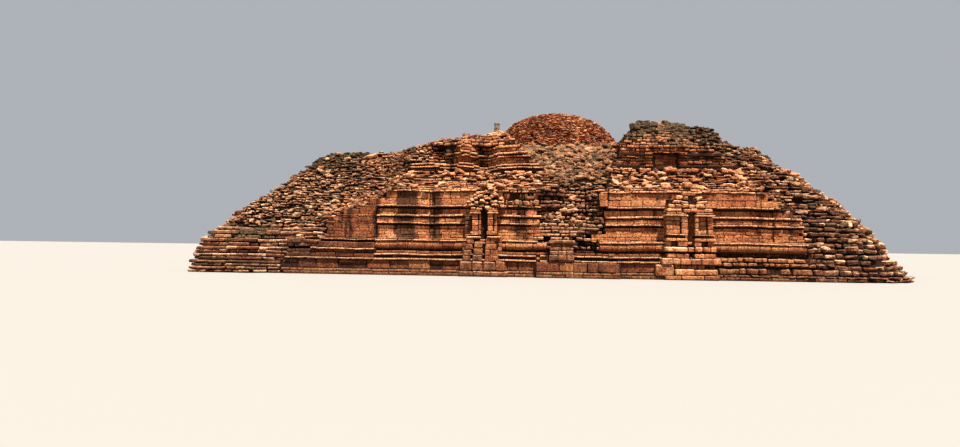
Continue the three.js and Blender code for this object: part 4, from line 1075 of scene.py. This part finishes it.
solved = {}
local = np.random.default_rng(SEED + 1)
for kd, rows in bag.items():
    if rows: solved[kd] = (*solve(kd, rows, local), np.array([r[0] for r in rows]))
all_nodes = sorted(set(n for s in solved.values() for n in s[2]))
objects, tri_total = {}, 0
for nd in all_nodes:
    vs, fs, cs, base, tris = [], {3: [], 4: [], 9: []}, [], 0, 0
    for kd, (p, col, names) in solved.items():
        pick = np.nonzero(names == nd)[0]
        if not len(pick): continue
        k = p.shape[1]
        q = p[pick].reshape(-1, 3)
        vs.append(q); cs.append(col[pick].reshape(-1, 4))
        for f in TEMPLATES[kd][1]:
            f = np.array(f)
            fs[len(f)].append(base + (np.arange(len(pick)) * k)[:, None] + f[None])
            tris += (len(f) - 2) * len(pick)
        base += len(q)
    v = wobble(np.concatenate(vs))
    v[:, 2] = np.maximum(v[:, 2], 0.0)
    faces = [np.concatenate(x) for x in fs.values() if x]
    objects[nd] = make_mesh(f"{nd}_blocks", v, faces, np.concatenate(cs))
    objects[nd]["tris"] = tris
    tri_total += tris
print("blocks", {k: len(v) for k, v in bag.items()}, "triangles", tri_total, "largest", max((o["tris"], n) for n, o in objects.items()))


# ------------------------------------------------------------------ the brick mound
def mound_radius(z, a):
    prof = [[13.9, 8.8], [14.9, 8.4], [16.1, 7.8], [17.4, 7.1], [18.6, 6.2], [19.35, 5.1], [19.87, 3.7], [20.2, 2.2], [20.36, 0.0]]
    k = (z - 13.9) / 6.46
    r = np.interp(z, [p[0] for p in prof], [p[1] for p in prof])
    return r * (1 + 0.07 * np.cos(4 * a + 0.4) * (1 - k) + 0.03 * np.sin(3 * a)), -0.42 - 0.4 * k


def lay_mound():
    rows = []
    rg = np.random.default_rng(SEED + 5)
    z, h = 13.75, 0.15
    while z < 20.28:
        r_here = float(mound_radius(min(z + h / 2, 20.35), 0.0)[0])
        r_next = float(mound_radius(min(z + 1.5 * h, 20.36), 0.0)[0])
        for row in range(max(1, int(math.ceil((r_here - r_next + 0.12) / 0.17)))):
            r0 = r_here - row * 0.17
            if r0 < 0.2: break
            nb = max(4, int(2 * math.pi * r0 / 0.4))
            ph = rg.random() * 6.28
            for i in range(nb):
                a = ph + (i + rg.uniform(-0.2, 0.2)) * 2 * math.pi / nb
                if rg.random() < 0.09: continue
                rill = 0.12 * math.sin(17 * a + 0.9 * z) + 0.09 * math.sin(31 * a - 1.7 * z) + 0.06 * math.sin(9 * a + 3.1 * z)
                rr, cx = mound_radius(min(max(z + h / 2, 13.9), 20.35), a)
                rr = float(rr) * r0 / r_here + rill + rg.normal(0, 0.085)
                x, y = cx + math.cos(a) * (rr - 0.14), math.sin(a) * (rr - 0.14)
                sh = rg.random()
                rows.append(("brick_mound", x, y, z + h / 2 + rg.normal(0, 0.015), -math.sin(a), math.cos(a), 0.2 * rg.uniform(0.7, 1.05), h / 2 - rg.uniform(0.008, 0.03), 0.15,
                             0.015, 0.05, rg.normal(0, 0.22), rg.normal(0, 0.16), rg.normal(0, 0.08), sh, 0.25 * max(0, noise2(x, y + z, 3)) + (0.5 if sh > 0.93 else 0),
                             0.75 if rg.random() < 0.13 else 0.0, 0.9 if rg.random() < 0.12 else 0.2 * rg.random()))
        z += h
    p, col = solve("box", rows, rg)
    n, k = p.shape[:2]
    f = np.concatenate([(np.arange(n) * k)[:, None] + np.array(q)[None] for q in BX_F])
    return p.reshape(-1, 3), f, col.reshape(-1, 4), n


mv, mf, mc, mn = lay_mound()
# the closed core inside the bricks, coloured dark as painted shade in the gaps between them
ring, lev = 64, [13.5, 14.5, 15.5, 16.5, 17.5, 18.5, 19.1, 19.6, 19.9, 20.05]
cv = []
for z in lev:
    for i in range(ring):
        a = i * 2 * math.pi / ring
        r, cx = mound_radius(max(z, 13.9), a)
        cv.append((cx + math.cos(a) * (float(r) - 0.26), math.sin(a) * (float(r) - 0.26), z))
cv = np.array(cv)
cf = np.array([[j * ring + i, j * ring + (i + 1) % ring, (j + 1) * ring + (i + 1) % ring, (j + 1) * ring + i] for j in range(len(lev) - 1) for i in range(ring)])
top, bot = len(cv), len(cv) + 1
cv = np.concatenate([cv, [[-0.55, 0, 20.12], [-0.2, 0, 13.5]]])
ct = np.array([[(len(lev) - 1) * ring + i, (len(lev) - 1) * ring + (i + 1) % ring, top] for i in range(ring)] + [[(i + 1) % ring, i, bot] for i in range(ring)])
mound = make_mesh("brick_mound_bricks", np.concatenate([mv, cv]), [mf, cf + len(mv), ct + len(mv)],
                  np.concatenate([mc, np.tile([0.1, 0.2, 0.7, 0.0], (len(cv), 1))]))
objects["brick_mound"] = mound

# ------------------------------------------------------------------ the earth of the terrace, and the breaches filled with it
gn_ = 104
gx = np.linspace(-26.2, 26.2, gn_)
X, Y = np.meshgrid(gx, gx, indexing="ij")
H = ground_height(X, Y)
flat = np.stack([X.ravel(), Y.ravel()], 1)
cap = top_of(flat, 0.62).reshape(X.shape) - 0.3  # earth never stands proud of the masonry around it
deep = inset_of(flat, 13.8).reshape(X.shape)
cap = np.where(deep > 0.9, 13.55 + (deep - 0.9) * 0.55, cap)
for side in range(4):  # in the breach the earth itself is the surface
    t, n = to_side(X, Y, side)
    ramp = 7.9 + (28.2 - n) / 1.9
    bl = np.maximum(1.6, 2.2 + (ramp - 9.5)); br = np.maximum(2.6, 3.4 + (ramp - 9.5) * 0.45)
    free = (t > -bl - 0.3) & (t < br + 0.3) & (n > 12) & (n < 25.9)
    cap = np.where(free, np.maximum(cap, 99.0), cap)
H = np.maximum(np.minimum(H, cap), 0.6)
top_v = np.stack([X.ravel(), Y.ravel(), H.ravel()], 1)
ii, jj = np.meshgrid(np.arange(gn_ - 1), np.arange(gn_ - 1), indexing="ij")
q00 = (ii * gn_ + jj).ravel(); q10 = q00 + gn_; q11 = q10 + 1; q01 = q00 + 1
topf = np.stack([q00, q10, q11, q01], 1)
rim = [(i, 0) for i in range(gn_)] + [(gn_ - 1, j) for j in range(1, gn_)] + [(i, gn_ - 1) for i in range(gn_ - 2, -1, -1)] + [(0, j) for j in range(gn_ - 2, 0, -1)]
rim = np.array([i * gn_ + j for i, j in rim])
nr = len(rim)
bot_v = np.stack([X.ravel()[rim], Y.ravel()[rim], np.zeros(nr)], 1)
low_rim = np.arange(nr) + gn_ * gn_
skirt = np.stack([np.roll(rim, -1), rim, low_rim, np.roll(low_rim, -1)], 1)
botf = low_rim[None, ::-1]
gcol = np.zeros((gn_ * gn_ + nr, 4)); gcol[:, 0] = 0.5
earth = make_mesh("upper_terrace_earth", np.concatenate([top_v, bot_v]), [topf, botf, skirt], gcol, smooth=True)
objects["upper_terrace_fill"] = earth

# the core of the lower terrace, wholly inside the courses
cz = [(0.3, 22.6), (4.0, 22.3), (8.0, 21.0), (9.2, 20.0)]
kv = np.array([(sx * r, sy * r, z) for z, r in cz for sx, sy in ((-1, -1), (1, -1), (1, 1), (-1, 1))], float)
kf = [[3, 2, 1, 0], [12, 13, 14, 15]] + [[j * 4 + i, j * 4 + (i + 1) % 4, (j + 1) * 4 + (i + 1) % 4, (j + 1) * 4 + i] for j in range(3) for i in range(4)]
core = make_mesh("lower_terrace_core", kv, [np.array(kf)], np.tile([0.1, 0.2, 0.7, 0.0], (len(kv), 1)))
objects["lower_terrace_fill"] = core

# the upright stone on the crest, tapering a little, with a chipped cap
def upright():
    vs, n = [], 12
    prof = [(14.35, 0.30), (14.6, 0.29), (14.9, 0.285), (15.1, 0.27), (15.24, 0.265), (15.32, 0.30), (15.41, 0.29), (15.45, 0.22)]
    rg = np.random.default_rng(SEED + 9)
    for z, r in prof:
        for i in range(n):
            a = i * 2 * math.pi / n
            c, s = math.cos(a), math.sin(a)
            m = max(abs(c), abs(s)) ** 0.75
            rr = r / m * (1 + rg.normal(0, 0.025))
            vs.append((-7.65 + c * rr, -21.15 + s * rr * 0.9, z + rg.normal(0, 0.01)))
    f4 = [[j * n + i, j * n + (i + 1) % n, (j + 1) * n + (i + 1) % n, (j + 1) * n + i] for j in range(len(prof) - 1) for i in range(n)]
    t, b = len(vs), len(vs) + 1
    vs += [(-7.65, -21.15, 15.47), (-7.65, -21.15, 14.35)]
    f3 = [[(len(prof) - 1) * n + i, (len(prof) - 1) * n + (i + 1) % n, t] for i in range(n)] + [[(i + 1) % n, i, b] for i in range(n)]
    return np.array(vs), np.array(f4), np.array(f3)


uv_, u4, u3 = upright()
objects["standing_stone"] = make_mesh("standing_stone_shaped", uv_, [u4, u3], np.tile([0.5, 0.3, 0.1, 0.3], (len(uv_), 1)))

# ------------------------------------------------------------------ materials
def material(name):
    m = bpy.data.materials.new(name)
    m.use_nodes = True
    nt = m.node_tree
    nt.nodes.clear()
    out = nt.nodes.new("ShaderNodeOutputMaterial")
    bs = nt.nodes.new("ShaderNodeBsdfPrincipled")
    bs.inputs["Roughness"].default_value = 0.92
    bs.inputs["Specular IOR Level"].default_value = 0.15
    nt.links.new(bs.outputs[0], out.inputs[0])
    return m, nt, bs


class G:
    """Small helper to write node trees as expressions."""

    def __init__(self, nt):
        self.nt = nt
        self.co = nt.nodes.new("ShaderNodeTexCoord").outputs["Object"]

    def n(self, t, **kw):
        x = self.nt.nodes.new(t)
        for k, v in kw.items(): setattr(x, k, v)
        return x

    def put(self, sock, val):
        if isinstance(val, bpy.types.NodeSocket): self.nt.links.new(val, sock)
        else: sock.default_value = val

    def noise(self, scale, detail=4.0, rough=0.6, co=None, stretch=None):
        c = co or self.co
        if stretch:
            mp = self.n("ShaderNodeMapping")
            self.nt.links.new(c, mp.inputs["Vector"])
            mp.inputs["Scale"].default_value = stretch
            c = mp.outputs[0]
        x = self.n("ShaderNodeTexNoise")
        self.nt.links.new(c, x.inputs["Vector"])
        x.inputs["Scale"].default_value = scale
        x.inputs["Detail"].default_value = detail
        x.inputs["Roughness"].default_value = rough
        return x.outputs["Fac"]

    def voro(self, scale, feature="F1"):
        x = self.n("ShaderNodeTexVoronoi", feature=feature)
        self.nt.links.new(self.co, x.inputs["Vector"])
        x.inputs["Scale"].default_value = scale
        return x.outputs["Distance"]

    def math(self, op, a, b=0.0, c=None, clamp=False):
        x = self.n("ShaderNodeMath", operation=op, use_clamp=clamp)
        self.put(x.inputs[0], a); self.put(x.inputs[1], b)
        if c is not None: self.put(x.inputs[2], c)
        return x.outputs[0]

    def mix(self, f, a, b, blend="MIX"):
        x = self.n("ShaderNodeMix", data_type="RGBA", blend_type=blend)
        self.put(x.inputs[0], f); self.put(x.inputs[6], a); self.put(x.inputs[7], b)
        return x.outputs[2]

    def ramp(self, f, stops):
        x = self.n("ShaderNodeValToRGB")
        self.put(x.inputs[0], f)
        el = x.color_ramp.elements
        while len(el) < len(stops): el.new(0.999)
        for e, (p, c) in zip(el, stops):
            e.position = p; e.color = (*c, 1.0) if len(c) == 3 else c
        return x.outputs[0]

    def smooth(self, v, lo, hi):
        x = self.n("ShaderNodeMapRange", interpolation_type="SMOOTHSTEP")
        self.put(x.inputs["Value"], v)
        self.put(x.inputs["From Min"], lo); self.put(x.inputs["From Max"], hi)
        return x.outputs[0]


# dark water stains on the front: place along the wall in units, how dark; between them the wall is clean
STREAKS_LOW = [(-22.5, 0.0), (-20.6, 0.42), (-19.9, 0.0), (-18.6, 0.0), (-18.1, 0.75), (-17.6, 0.0), (-16.5, 0.0), (-15.9, 0.9), (-14.8, 0.95), (-14.2, 0.0), (-13.2, 0.0),
               (-12.9, 1.0), (-12.4, 0.9), (-12.0, 0.0), (-5.9, 0.0), (-5.2, 0.55), (-4.5, 0.5), (-3.9, 0.0), (6.2, 0.0), (6.9, 0.45), (7.4, 0.0), (11.7, 0.0), (12.1, 0.4), (12.5, 0.0),
               (15.2, 0.0), (15.7, 0.5), (16.2, 0.0), (18.0, 0.0), (18.6, 0.45), (19.3, 0.0)]
STREAKS_UP = [(-14.0, 0.0), (-12.4, 0.2), (-11.8, 0.6), (-11.3, 0.25), (-10.8, 0.0), (-9.6, 0.2), (-8.9, 0.5), (-8.3, 0.25), (-7.7, 0.0), (-5.6, 0.0), (-5.1, 0.4), (-4.6, 0.0), (7.2, 0.0), (7.7, 0.6),
              (8.2, 0.0), (11.8, 0.0), (12.6, 0.5), (13.4, 0.0)]


def water_stain(g):
    """How dark a wall is stained: listed one by one on the front, free streaks on the other sides."""
    sx = g.n("ShaderNodeSeparateXYZ")
    g.nt.links.new(g.co, sx.inputs[0])
    x, y, z = sx.outputs[0], sx.outputs[1], sx.outputs[2]
    m = g.math
    z = m("DIVIDE", z, U)
    ew = m("GREATER_THAN", m("ABSOLUTE", x), m("ABSOLUTE", y))
    t_ns = m("MULTIPLY", x, m("MULTIPLY", m("SIGN", y), -1.0))
    t_ew = m("MULTIPLY", y, m("SIGN", x))
    t = m("DIVIDE", m("ADD", m("MULTIPLY", t_ns, m("SUBTRACT", 1.0, ew)), m("MULTIPLY", t_ew, ew)), U)
    t = m("ADD", t, m("MULTIPLY", m("SINE", m("MULTIPLY", z, 1.7)), 0.12))
    t = m("ADD", t, m("MULTIPLY", m("SUBTRACT", g.noise(1.3, 4, 0.7), 0.5), 1.0))
    f = m("DIVIDE", m("ADD", t, 25.0), 50.0)

    def band(stops):
        return g.ramp(f, [(0.0, (0, 0, 0))] + [((p + 25) / 50, (k, k, k)) for p, k in stops] + [(1.0, (0, 0, 0))])
    high = g.smooth(z, 9.2, 10.2)
    wet = m("MULTIPLY", g.smooth(z, 2.6, 3.6), g.smooth(z, 8.6, 6.2))
    low = m("MULTIPLY", band(STREAKS_LOW), m("MULTIPLY", m("SUBTRACT", 1.0, high), m("ADD", 0.3, m("MULTIPLY", wet, 0.7))))
    front = m("ADD", low, m("MULTIPLY", band(STREAKS_UP), high))
    free = g.smooth(g.noise(0.62, 3, 0.6, stretch=(1.7, 1.7, 0.10)), 0.60, 0.72)
    is_front = m("MULTIPLY", m("LESS_THAN", y, 0.0), m("SUBTRACT", 1.0, ew))
    return m("ADD", m("MULTIPLY", front, is_front), m("MULTIPLY", free, m("SUBTRACT", 1.0, is_front)))


def laterite(name, stops, lichen_gain=1.0, dust_and_top_highlight=0.45, pit=0.6, crust_dark=(0.034, 0.020, 0.013), crust_light=(0.14, 0.092, 0.052), spread=0.66, hues=0.7, streaks=False):
    m, nt, bs = material(name)
    g = G(nt)
    at = g.n("ShaderNodeAttribute", attribute_name="blk")
    sep = g.n("ShaderNodeSeparateColor")
    nt.links.new(at.outputs["Color"], sep.inputs[0])
    shade, lich, stain_and_shade, pale = sep.outputs[0], sep.outputs[1], sep.outputs[2], at.outputs["Alpha"]
    wide = g.noise(0.35, 3, 0.6)
    mid = g.noise(3.2, 5, 0.65)
    fine = g.noise(15.0, 5, 0.75)
    pits = g.voro(13.0)
    tone = g.math("ADD", g.math("MULTIPLY", shade, spread), g.math("MULTIPLY", g.math("SUBTRACT", mid, 0.5), 0.95))
    tone = g.math("ADD", tone, g.math("MULTIPLY", g.math("SUBTRACT", wide, 0.5), 0.6))
    tone = g.math("ADD", tone, g.math("MULTIPLY", g.math("SUBTRACT", fine, 0.5), 0.7))
    tone = g.math("ADD", tone, 0.16, clamp=True)
    col = g.ramp(tone, stops)
    # each block has a hue of its own: some ochre, some wine-red
    hue = g.math("SINE", g.math("MULTIPLY", shade, 97.0))
    col = g.mix(g.math("MULTIPLY", g.smooth(hue, 0.25, 0.95), hues), col, (1.10, 1.38, 1.45, 1), "MULTIPLY")
    col = g.mix(g.math("MULTIPLY", g.smooth(hue, -0.35, -0.95), hues), col, (0.74, 0.60, 0.80, 1), "MULTIPLY")
    # pitted skin of the blocks: worm-eaten pores of the iron crust
    pores = g.math("MULTIPLY", g.smooth(fine, 0.56, 0.40), g.smooth(pits, 0.62, 0.25), clamp=True)
    col = g.mix(g.math("MULTIPLY", pores, pit), col, (0.050, 0.018, 0.009, 1))
    # dust, sun-bleached skin and a painted highlight on what faces up
    geo = g.n("ShaderNodeNewGeometry")
    sepn = g.n("ShaderNodeSeparateXYZ")
    nt.links.new(geo.outputs["Normal"], sepn.inputs[0])
    up = g.smooth(sepn.outputs[2], 0.2, 0.85)
    upk = g.math("MULTIPLY", up, g.math("ADD", dust_and_top_highlight, g.math("MULTIPLY", pale, 0.7)), clamp=True)
    upk = g.math("MULTIPLY", upk, g.smooth(g.noise(5.0, 4, 0.65), g.math("SUBTRACT", 0.36, g.math("MULTIPLY", pale, 0.12)), 0.62), clamp=True)
    upk = g.math("MULTIPLY", upk, g.math("SUBTRACT", 1.0, g.math("MULTIPLY", lich, 0.55)), clamp=True)
    # a painted highlight along the upper edges of pale blocks
    edge = g.math("MULTIPLY", g.math("MULTIPLY", g.math("MULTIPLY", pale, pale), 0.85), g.smooth(g.noise(4.6, 5, 0.75), 0.42, 0.62), clamp=True)
    col = g.mix(edge, col, (0.72, 0.41, 0.225, 1))
    col = g.mix(upk, col, g.mix(g.smooth(pale, 0.3, 0.95), (0.48, 0.27, 0.145, 1), (0.72, 0.47, 0.29, 1)))
    # dark crust of lichen and soot-like algae
    lk = g.math("ADD", g.math("MULTIPLY", lich, 1.15 * lichen_gain), g.math("MULTIPLY", g.math("SUBTRACT", g.noise(3.6, 6, 0.78), 0.55), 2.6))
    lk = g.smooth(lk, 0.30, 0.72)
    lk = g.math("MULTIPLY", lk, g.math("MULTIPLY", lich, 1.5), clamp=True)
    crust = g.mix(g.smooth(fine, 0.36, 0.62), (*crust_dark, 1), (*crust_light, 1))
    col = g.mix(lk, col, crust)
    # painted shade on level tops, against the bright light from above; the slanted upper edges keep their colour
    flat = g.smooth(sepn.outputs[2], 0.80, 0.97)
    col = g.mix(g.math("MULTIPLY", flat, 0.9), col, (0.52, 0.49, 0.47, 1), "MULTIPLY")
    # black water streaks drawn out down the wall, over the stain channel, which holds real stains and the painted shade
    # of recesses, dark cores and block feet
    streak = g.noise(2.6, 5, 0.75, stretch=(2.4, 2.4, 0.22))
    sk = g.math("MULTIPLY", stain_and_shade, g.smooth(streak, 0.22, 0.50), clamp=True)
    if streaks:
        run = g.smooth(g.math("ADD", g.math("MULTIPLY", water_stain(g), 0.85), g.math("MULTIPLY", g.math("SUBTRACT", streak, 0.5), 1.4)), 0.13, 0.46)
        run = g.math("MULTIPLY", run, g.math("SUBTRACT", 1.0, g.math("MULTIPLY", pale, 0.45)))
        sk = g.math("MAXIMUM", sk, g.math("MULTIPLY", run, 0.95))
    col = g.mix(g.math("MULTIPLY", sk, 0.94), col, (0.018, 0.010, 0.008, 1))
    nt.links.new(col, bs.inputs["Base Color"])
    bump = g.n("ShaderNodeBump")
    bump.inputs["Strength"].default_value = 1.0
    bump.inputs["Distance"].default_value = 0.045
    hgt = g.math("ADD", g.math("MULTIPLY", fine, 0.6), g.math("MULTIPLY", g.noise(48.0, 3, 0.6), 0.3))
    hgt = g.math("ADD", hgt, g.math("MULTIPLY", mid, 0.9))
    hgt = g.math("SUBTRACT", hgt, g.math("MULTIPLY", pores, 0.5))
    nt.links.new(hgt, bump.inputs["Height"])
    nt.links.new(bump.outputs[0], bs.inputs["Normal"])
    rough = g.math("ADD", 0.84, g.math("MULTIPLY", fine, 0.14))
    nt.links.new(rough, bs.inputs["Roughness"])
    return m


WALL_STOPS = [(0.0, (0.060, 0.021, 0.012)), (0.28, (0.18, 0.058, 0.026)), (0.52, (0.35, 0.122, 0.049)), (0.76, (0.49, 0.20, 0.085)), (1.0, (0.64, 0.34, 0.17))]
RUB_STOPS = [(0.0, (0.035, 0.014, 0.009)), (0.28, (0.105, 0.038, 0.021)), (0.52, (0.22, 0.084, 0.043)), (0.76, (0.38, 0.165, 0.083)), (1.0, (0.62, 0.35, 0.19))]
BRICK_STOPS = [(0.0, (0.030, 0.009, 0.006)), (0.28, (0.125, 0.033, 0.014)), (0.52, (0.30, 0.085, 0.033)), (0.78, (0.46, 0.18, 0.077)), (1.0, (0.68, 0.42, 0.23))]
mat_wall = laterite("laterite_walls", WALL_STOPS, spread=0.66, hues=0.55, streaks=True, dust_and_top_highlight=0.36)
mat_rubble = laterite("laterite_rubble_stones", RUB_STOPS, dust_and_top_highlight=0.3, spread=0.78, pit=0.8)
mat_foot = laterite("laterite_footing_slabs", [(p, tuple(c * 0.8 for c in k)) for p, k in WALL_STOPS])
mat_brick = laterite("mound_bricks", BRICK_STOPS, dust_and_top_highlight=0.1, pit=0.35, spread=0.66)
mat_stone = laterite("grey_upright_stone", [(0, (0.05, 0.04, 0.032)), (0.5, (0.16, 0.13, 0.10)), (1, (0.34, 0.29, 0.23))], dust_and_top_highlight=0.3, hues=0.1)


def earth_material():
    m, nt, bs = material("terrace_earth")
    g = G(nt)
    a = g.noise(0.9, 6, 0.7); b = g.noise(9.0, 6, 0.75); c = g.voro(5.0)
    col = g.ramp(g.math("ADD", g.math("MULTIPLY", g.math("SUBTRACT", a, 0.5), 1.5), g.math("ADD", 0.12, g.math("MULTIPLY", b, 0.8))),
                 [(0.25, (0.055, 0.028, 0.016)), (0.40, (0.125, 0.067, 0.035)), (0.54, (0.205, 0.118, 0.060)), (0.66, (0.27, 0.175, 0.088)), (0.82, (0.36, 0.26, 0.135))])
    col = g.mix(g.smooth(c, 0.20, 0.10), col, g.mix(g.smooth(b, 0.4, 0.6), (0.10, 0.045, 0.025, 1), (0.34, 0.17, 0.09, 1)))
    col = g.mix(g.math("MULTIPLY", g.smooth(g.noise(0.23, 4, 0.6), 0.46, 0.62), 0.55), col, (0.15, 0.068, 0.034, 1))
    nt.links.new(col, bs.inputs["Base Color"])
    bump = g.n("ShaderNodeBump")
    bump.inputs["Strength"].default_value = 1.0
    bump.inputs["Distance"].default_value = 0.06
    nt.links.new(g.math("ADD", b, g.math("MULTIPLY", g.noise(45.0, 3, 0.6), 0.4)), bump.inputs["Height"])
    nt.links.new(bump.outputs[0], bs.inputs["Normal"])
    return m


mat_earth = earth_material()
SLOT_MAT = dict(laterite_masonry=mat_wall, laterite_rubble=mat_rubble, laterite_footing=mat_foot, red_brick=mat_brick,
                earth_fill=mat_earth, grey_stone=mat_stone)
SLOT_OF = {s["node"]: s["material_slot"] for s in frame["record"]["subparts"]}
for nd, ob in objects.items():
    part = "upper_terrace_fill" if nd == "upper_terrace_stones" else nd.replace("_dressed", "")
    s = "laterite_rubble" if nd == "upper_terrace_stones" else ("laterite_masonry" if nd != part else SLOT_OF[nd])
    ob.data.materials.append(SLOT_MAT[s])
    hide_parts(part)
    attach(ob, "root")
for nd, ob in frame["nodes"].items():
    if nd not in objects:
        for i in range(len(ob.material_slots)): ob.material_slots[i].material = SLOT_MAT[SLOT_OF[nd]]
        print("CAD node still shown:", nd)

# ------------------------------------------------------------------ floor, light, camera
floor_me = bpy.data.meshes.new("floor")
R_ = 400.0
floor_me.from_pydata([(-R_, -R_, -0.012), (R_, -R_, -0.012), (R_, R_, -0.012), (-R_, R_, -0.012)], [], [(0, 1, 2, 3)])
floor = bpy.data.objects.new("floor", floor_me)
bpy.context.scene.collection.objects.link(floor)
fm, fnt, fbs = material("pale_floor")
fbs.inputs["Base Color"].default_value = (0.27, 0.262, 0.25, 1)
floor_me.materials.append(fm)

world = bpy.data.worlds.new("studio")
bpy.context.scene.world = world
world.use_nodes = True
bg = world.node_tree.nodes["Background"]
bg.inputs["Color"].default_value = (0.86, 0.90, 0.96, 1)
bg.inputs["Strength"].default_value = 0.36


def sun(name, direction, energy, angle, colour_):
    ld = bpy.data.lights.new(name, "SUN")
    ld.energy, ld.angle, ld.color = energy, math.radians(angle), colour_
    ob = bpy.data.objects.new(name, ld)
    bpy.context.scene.collection.objects.link(ob)
    from mathutils import Vector
    ob.rotation_mode = "QUATERNION"
    ob.rotation_quaternion = Vector(direction).to_track_quat("-Z", "Y")
    return ob


sun("key", (-0.26, 0.60, -1.12), 7.6, 3.0, (1.0, 0.93, 0.84))
sun("fill", (0.35, 0.9, -0.35), 0.45, 40.0, (0.95, 0.97, 1.0))

from mathutils import Matrix, Vector
yaw, pitch, roll = math.radians(4.0), math.radians(1.92), math.radians(0.8)
fw = Vector((-math.sin(yaw) * math.cos(pitch), math.cos(yaw) * math.cos(pitch), math.sin(pitch)))
rt = Vector((math.cos(yaw), math.sin(yaw), 0))
up = rt.cross(fw)
r2 = rt * math.cos(roll) + up * math.sin(roll)
u2 = -rt * math.sin(roll) + up * math.cos(roll)
cd = bpy.data.cameras.new("camera")
cd.lens, cd.sensor_width, cd.clip_end = 24.75, 36.0, 1000.0
cam = bpy.data.objects.new("camera", cd)
bpy.context.scene.collection.objects.link(cam)
cam.matrix_world = Matrix(((r2.x, u2.x, -fw.x, -4.507 * U), (r2.y, u2.y, -fw.y, -89.4 * U), (r2.z, u2.z, -fw.z, 2.68 * U), (0, 0, 0, 1)))
bpy.context.scene.camera = cam
bpy.context.scene.view_settings.view_transform = "Standard"
bpy.context.scene.view_settings.look = "Medium High Contrast"
bpy.context.scene.view_settings.exposure = 0.31

bpy.context.view_layer.update()
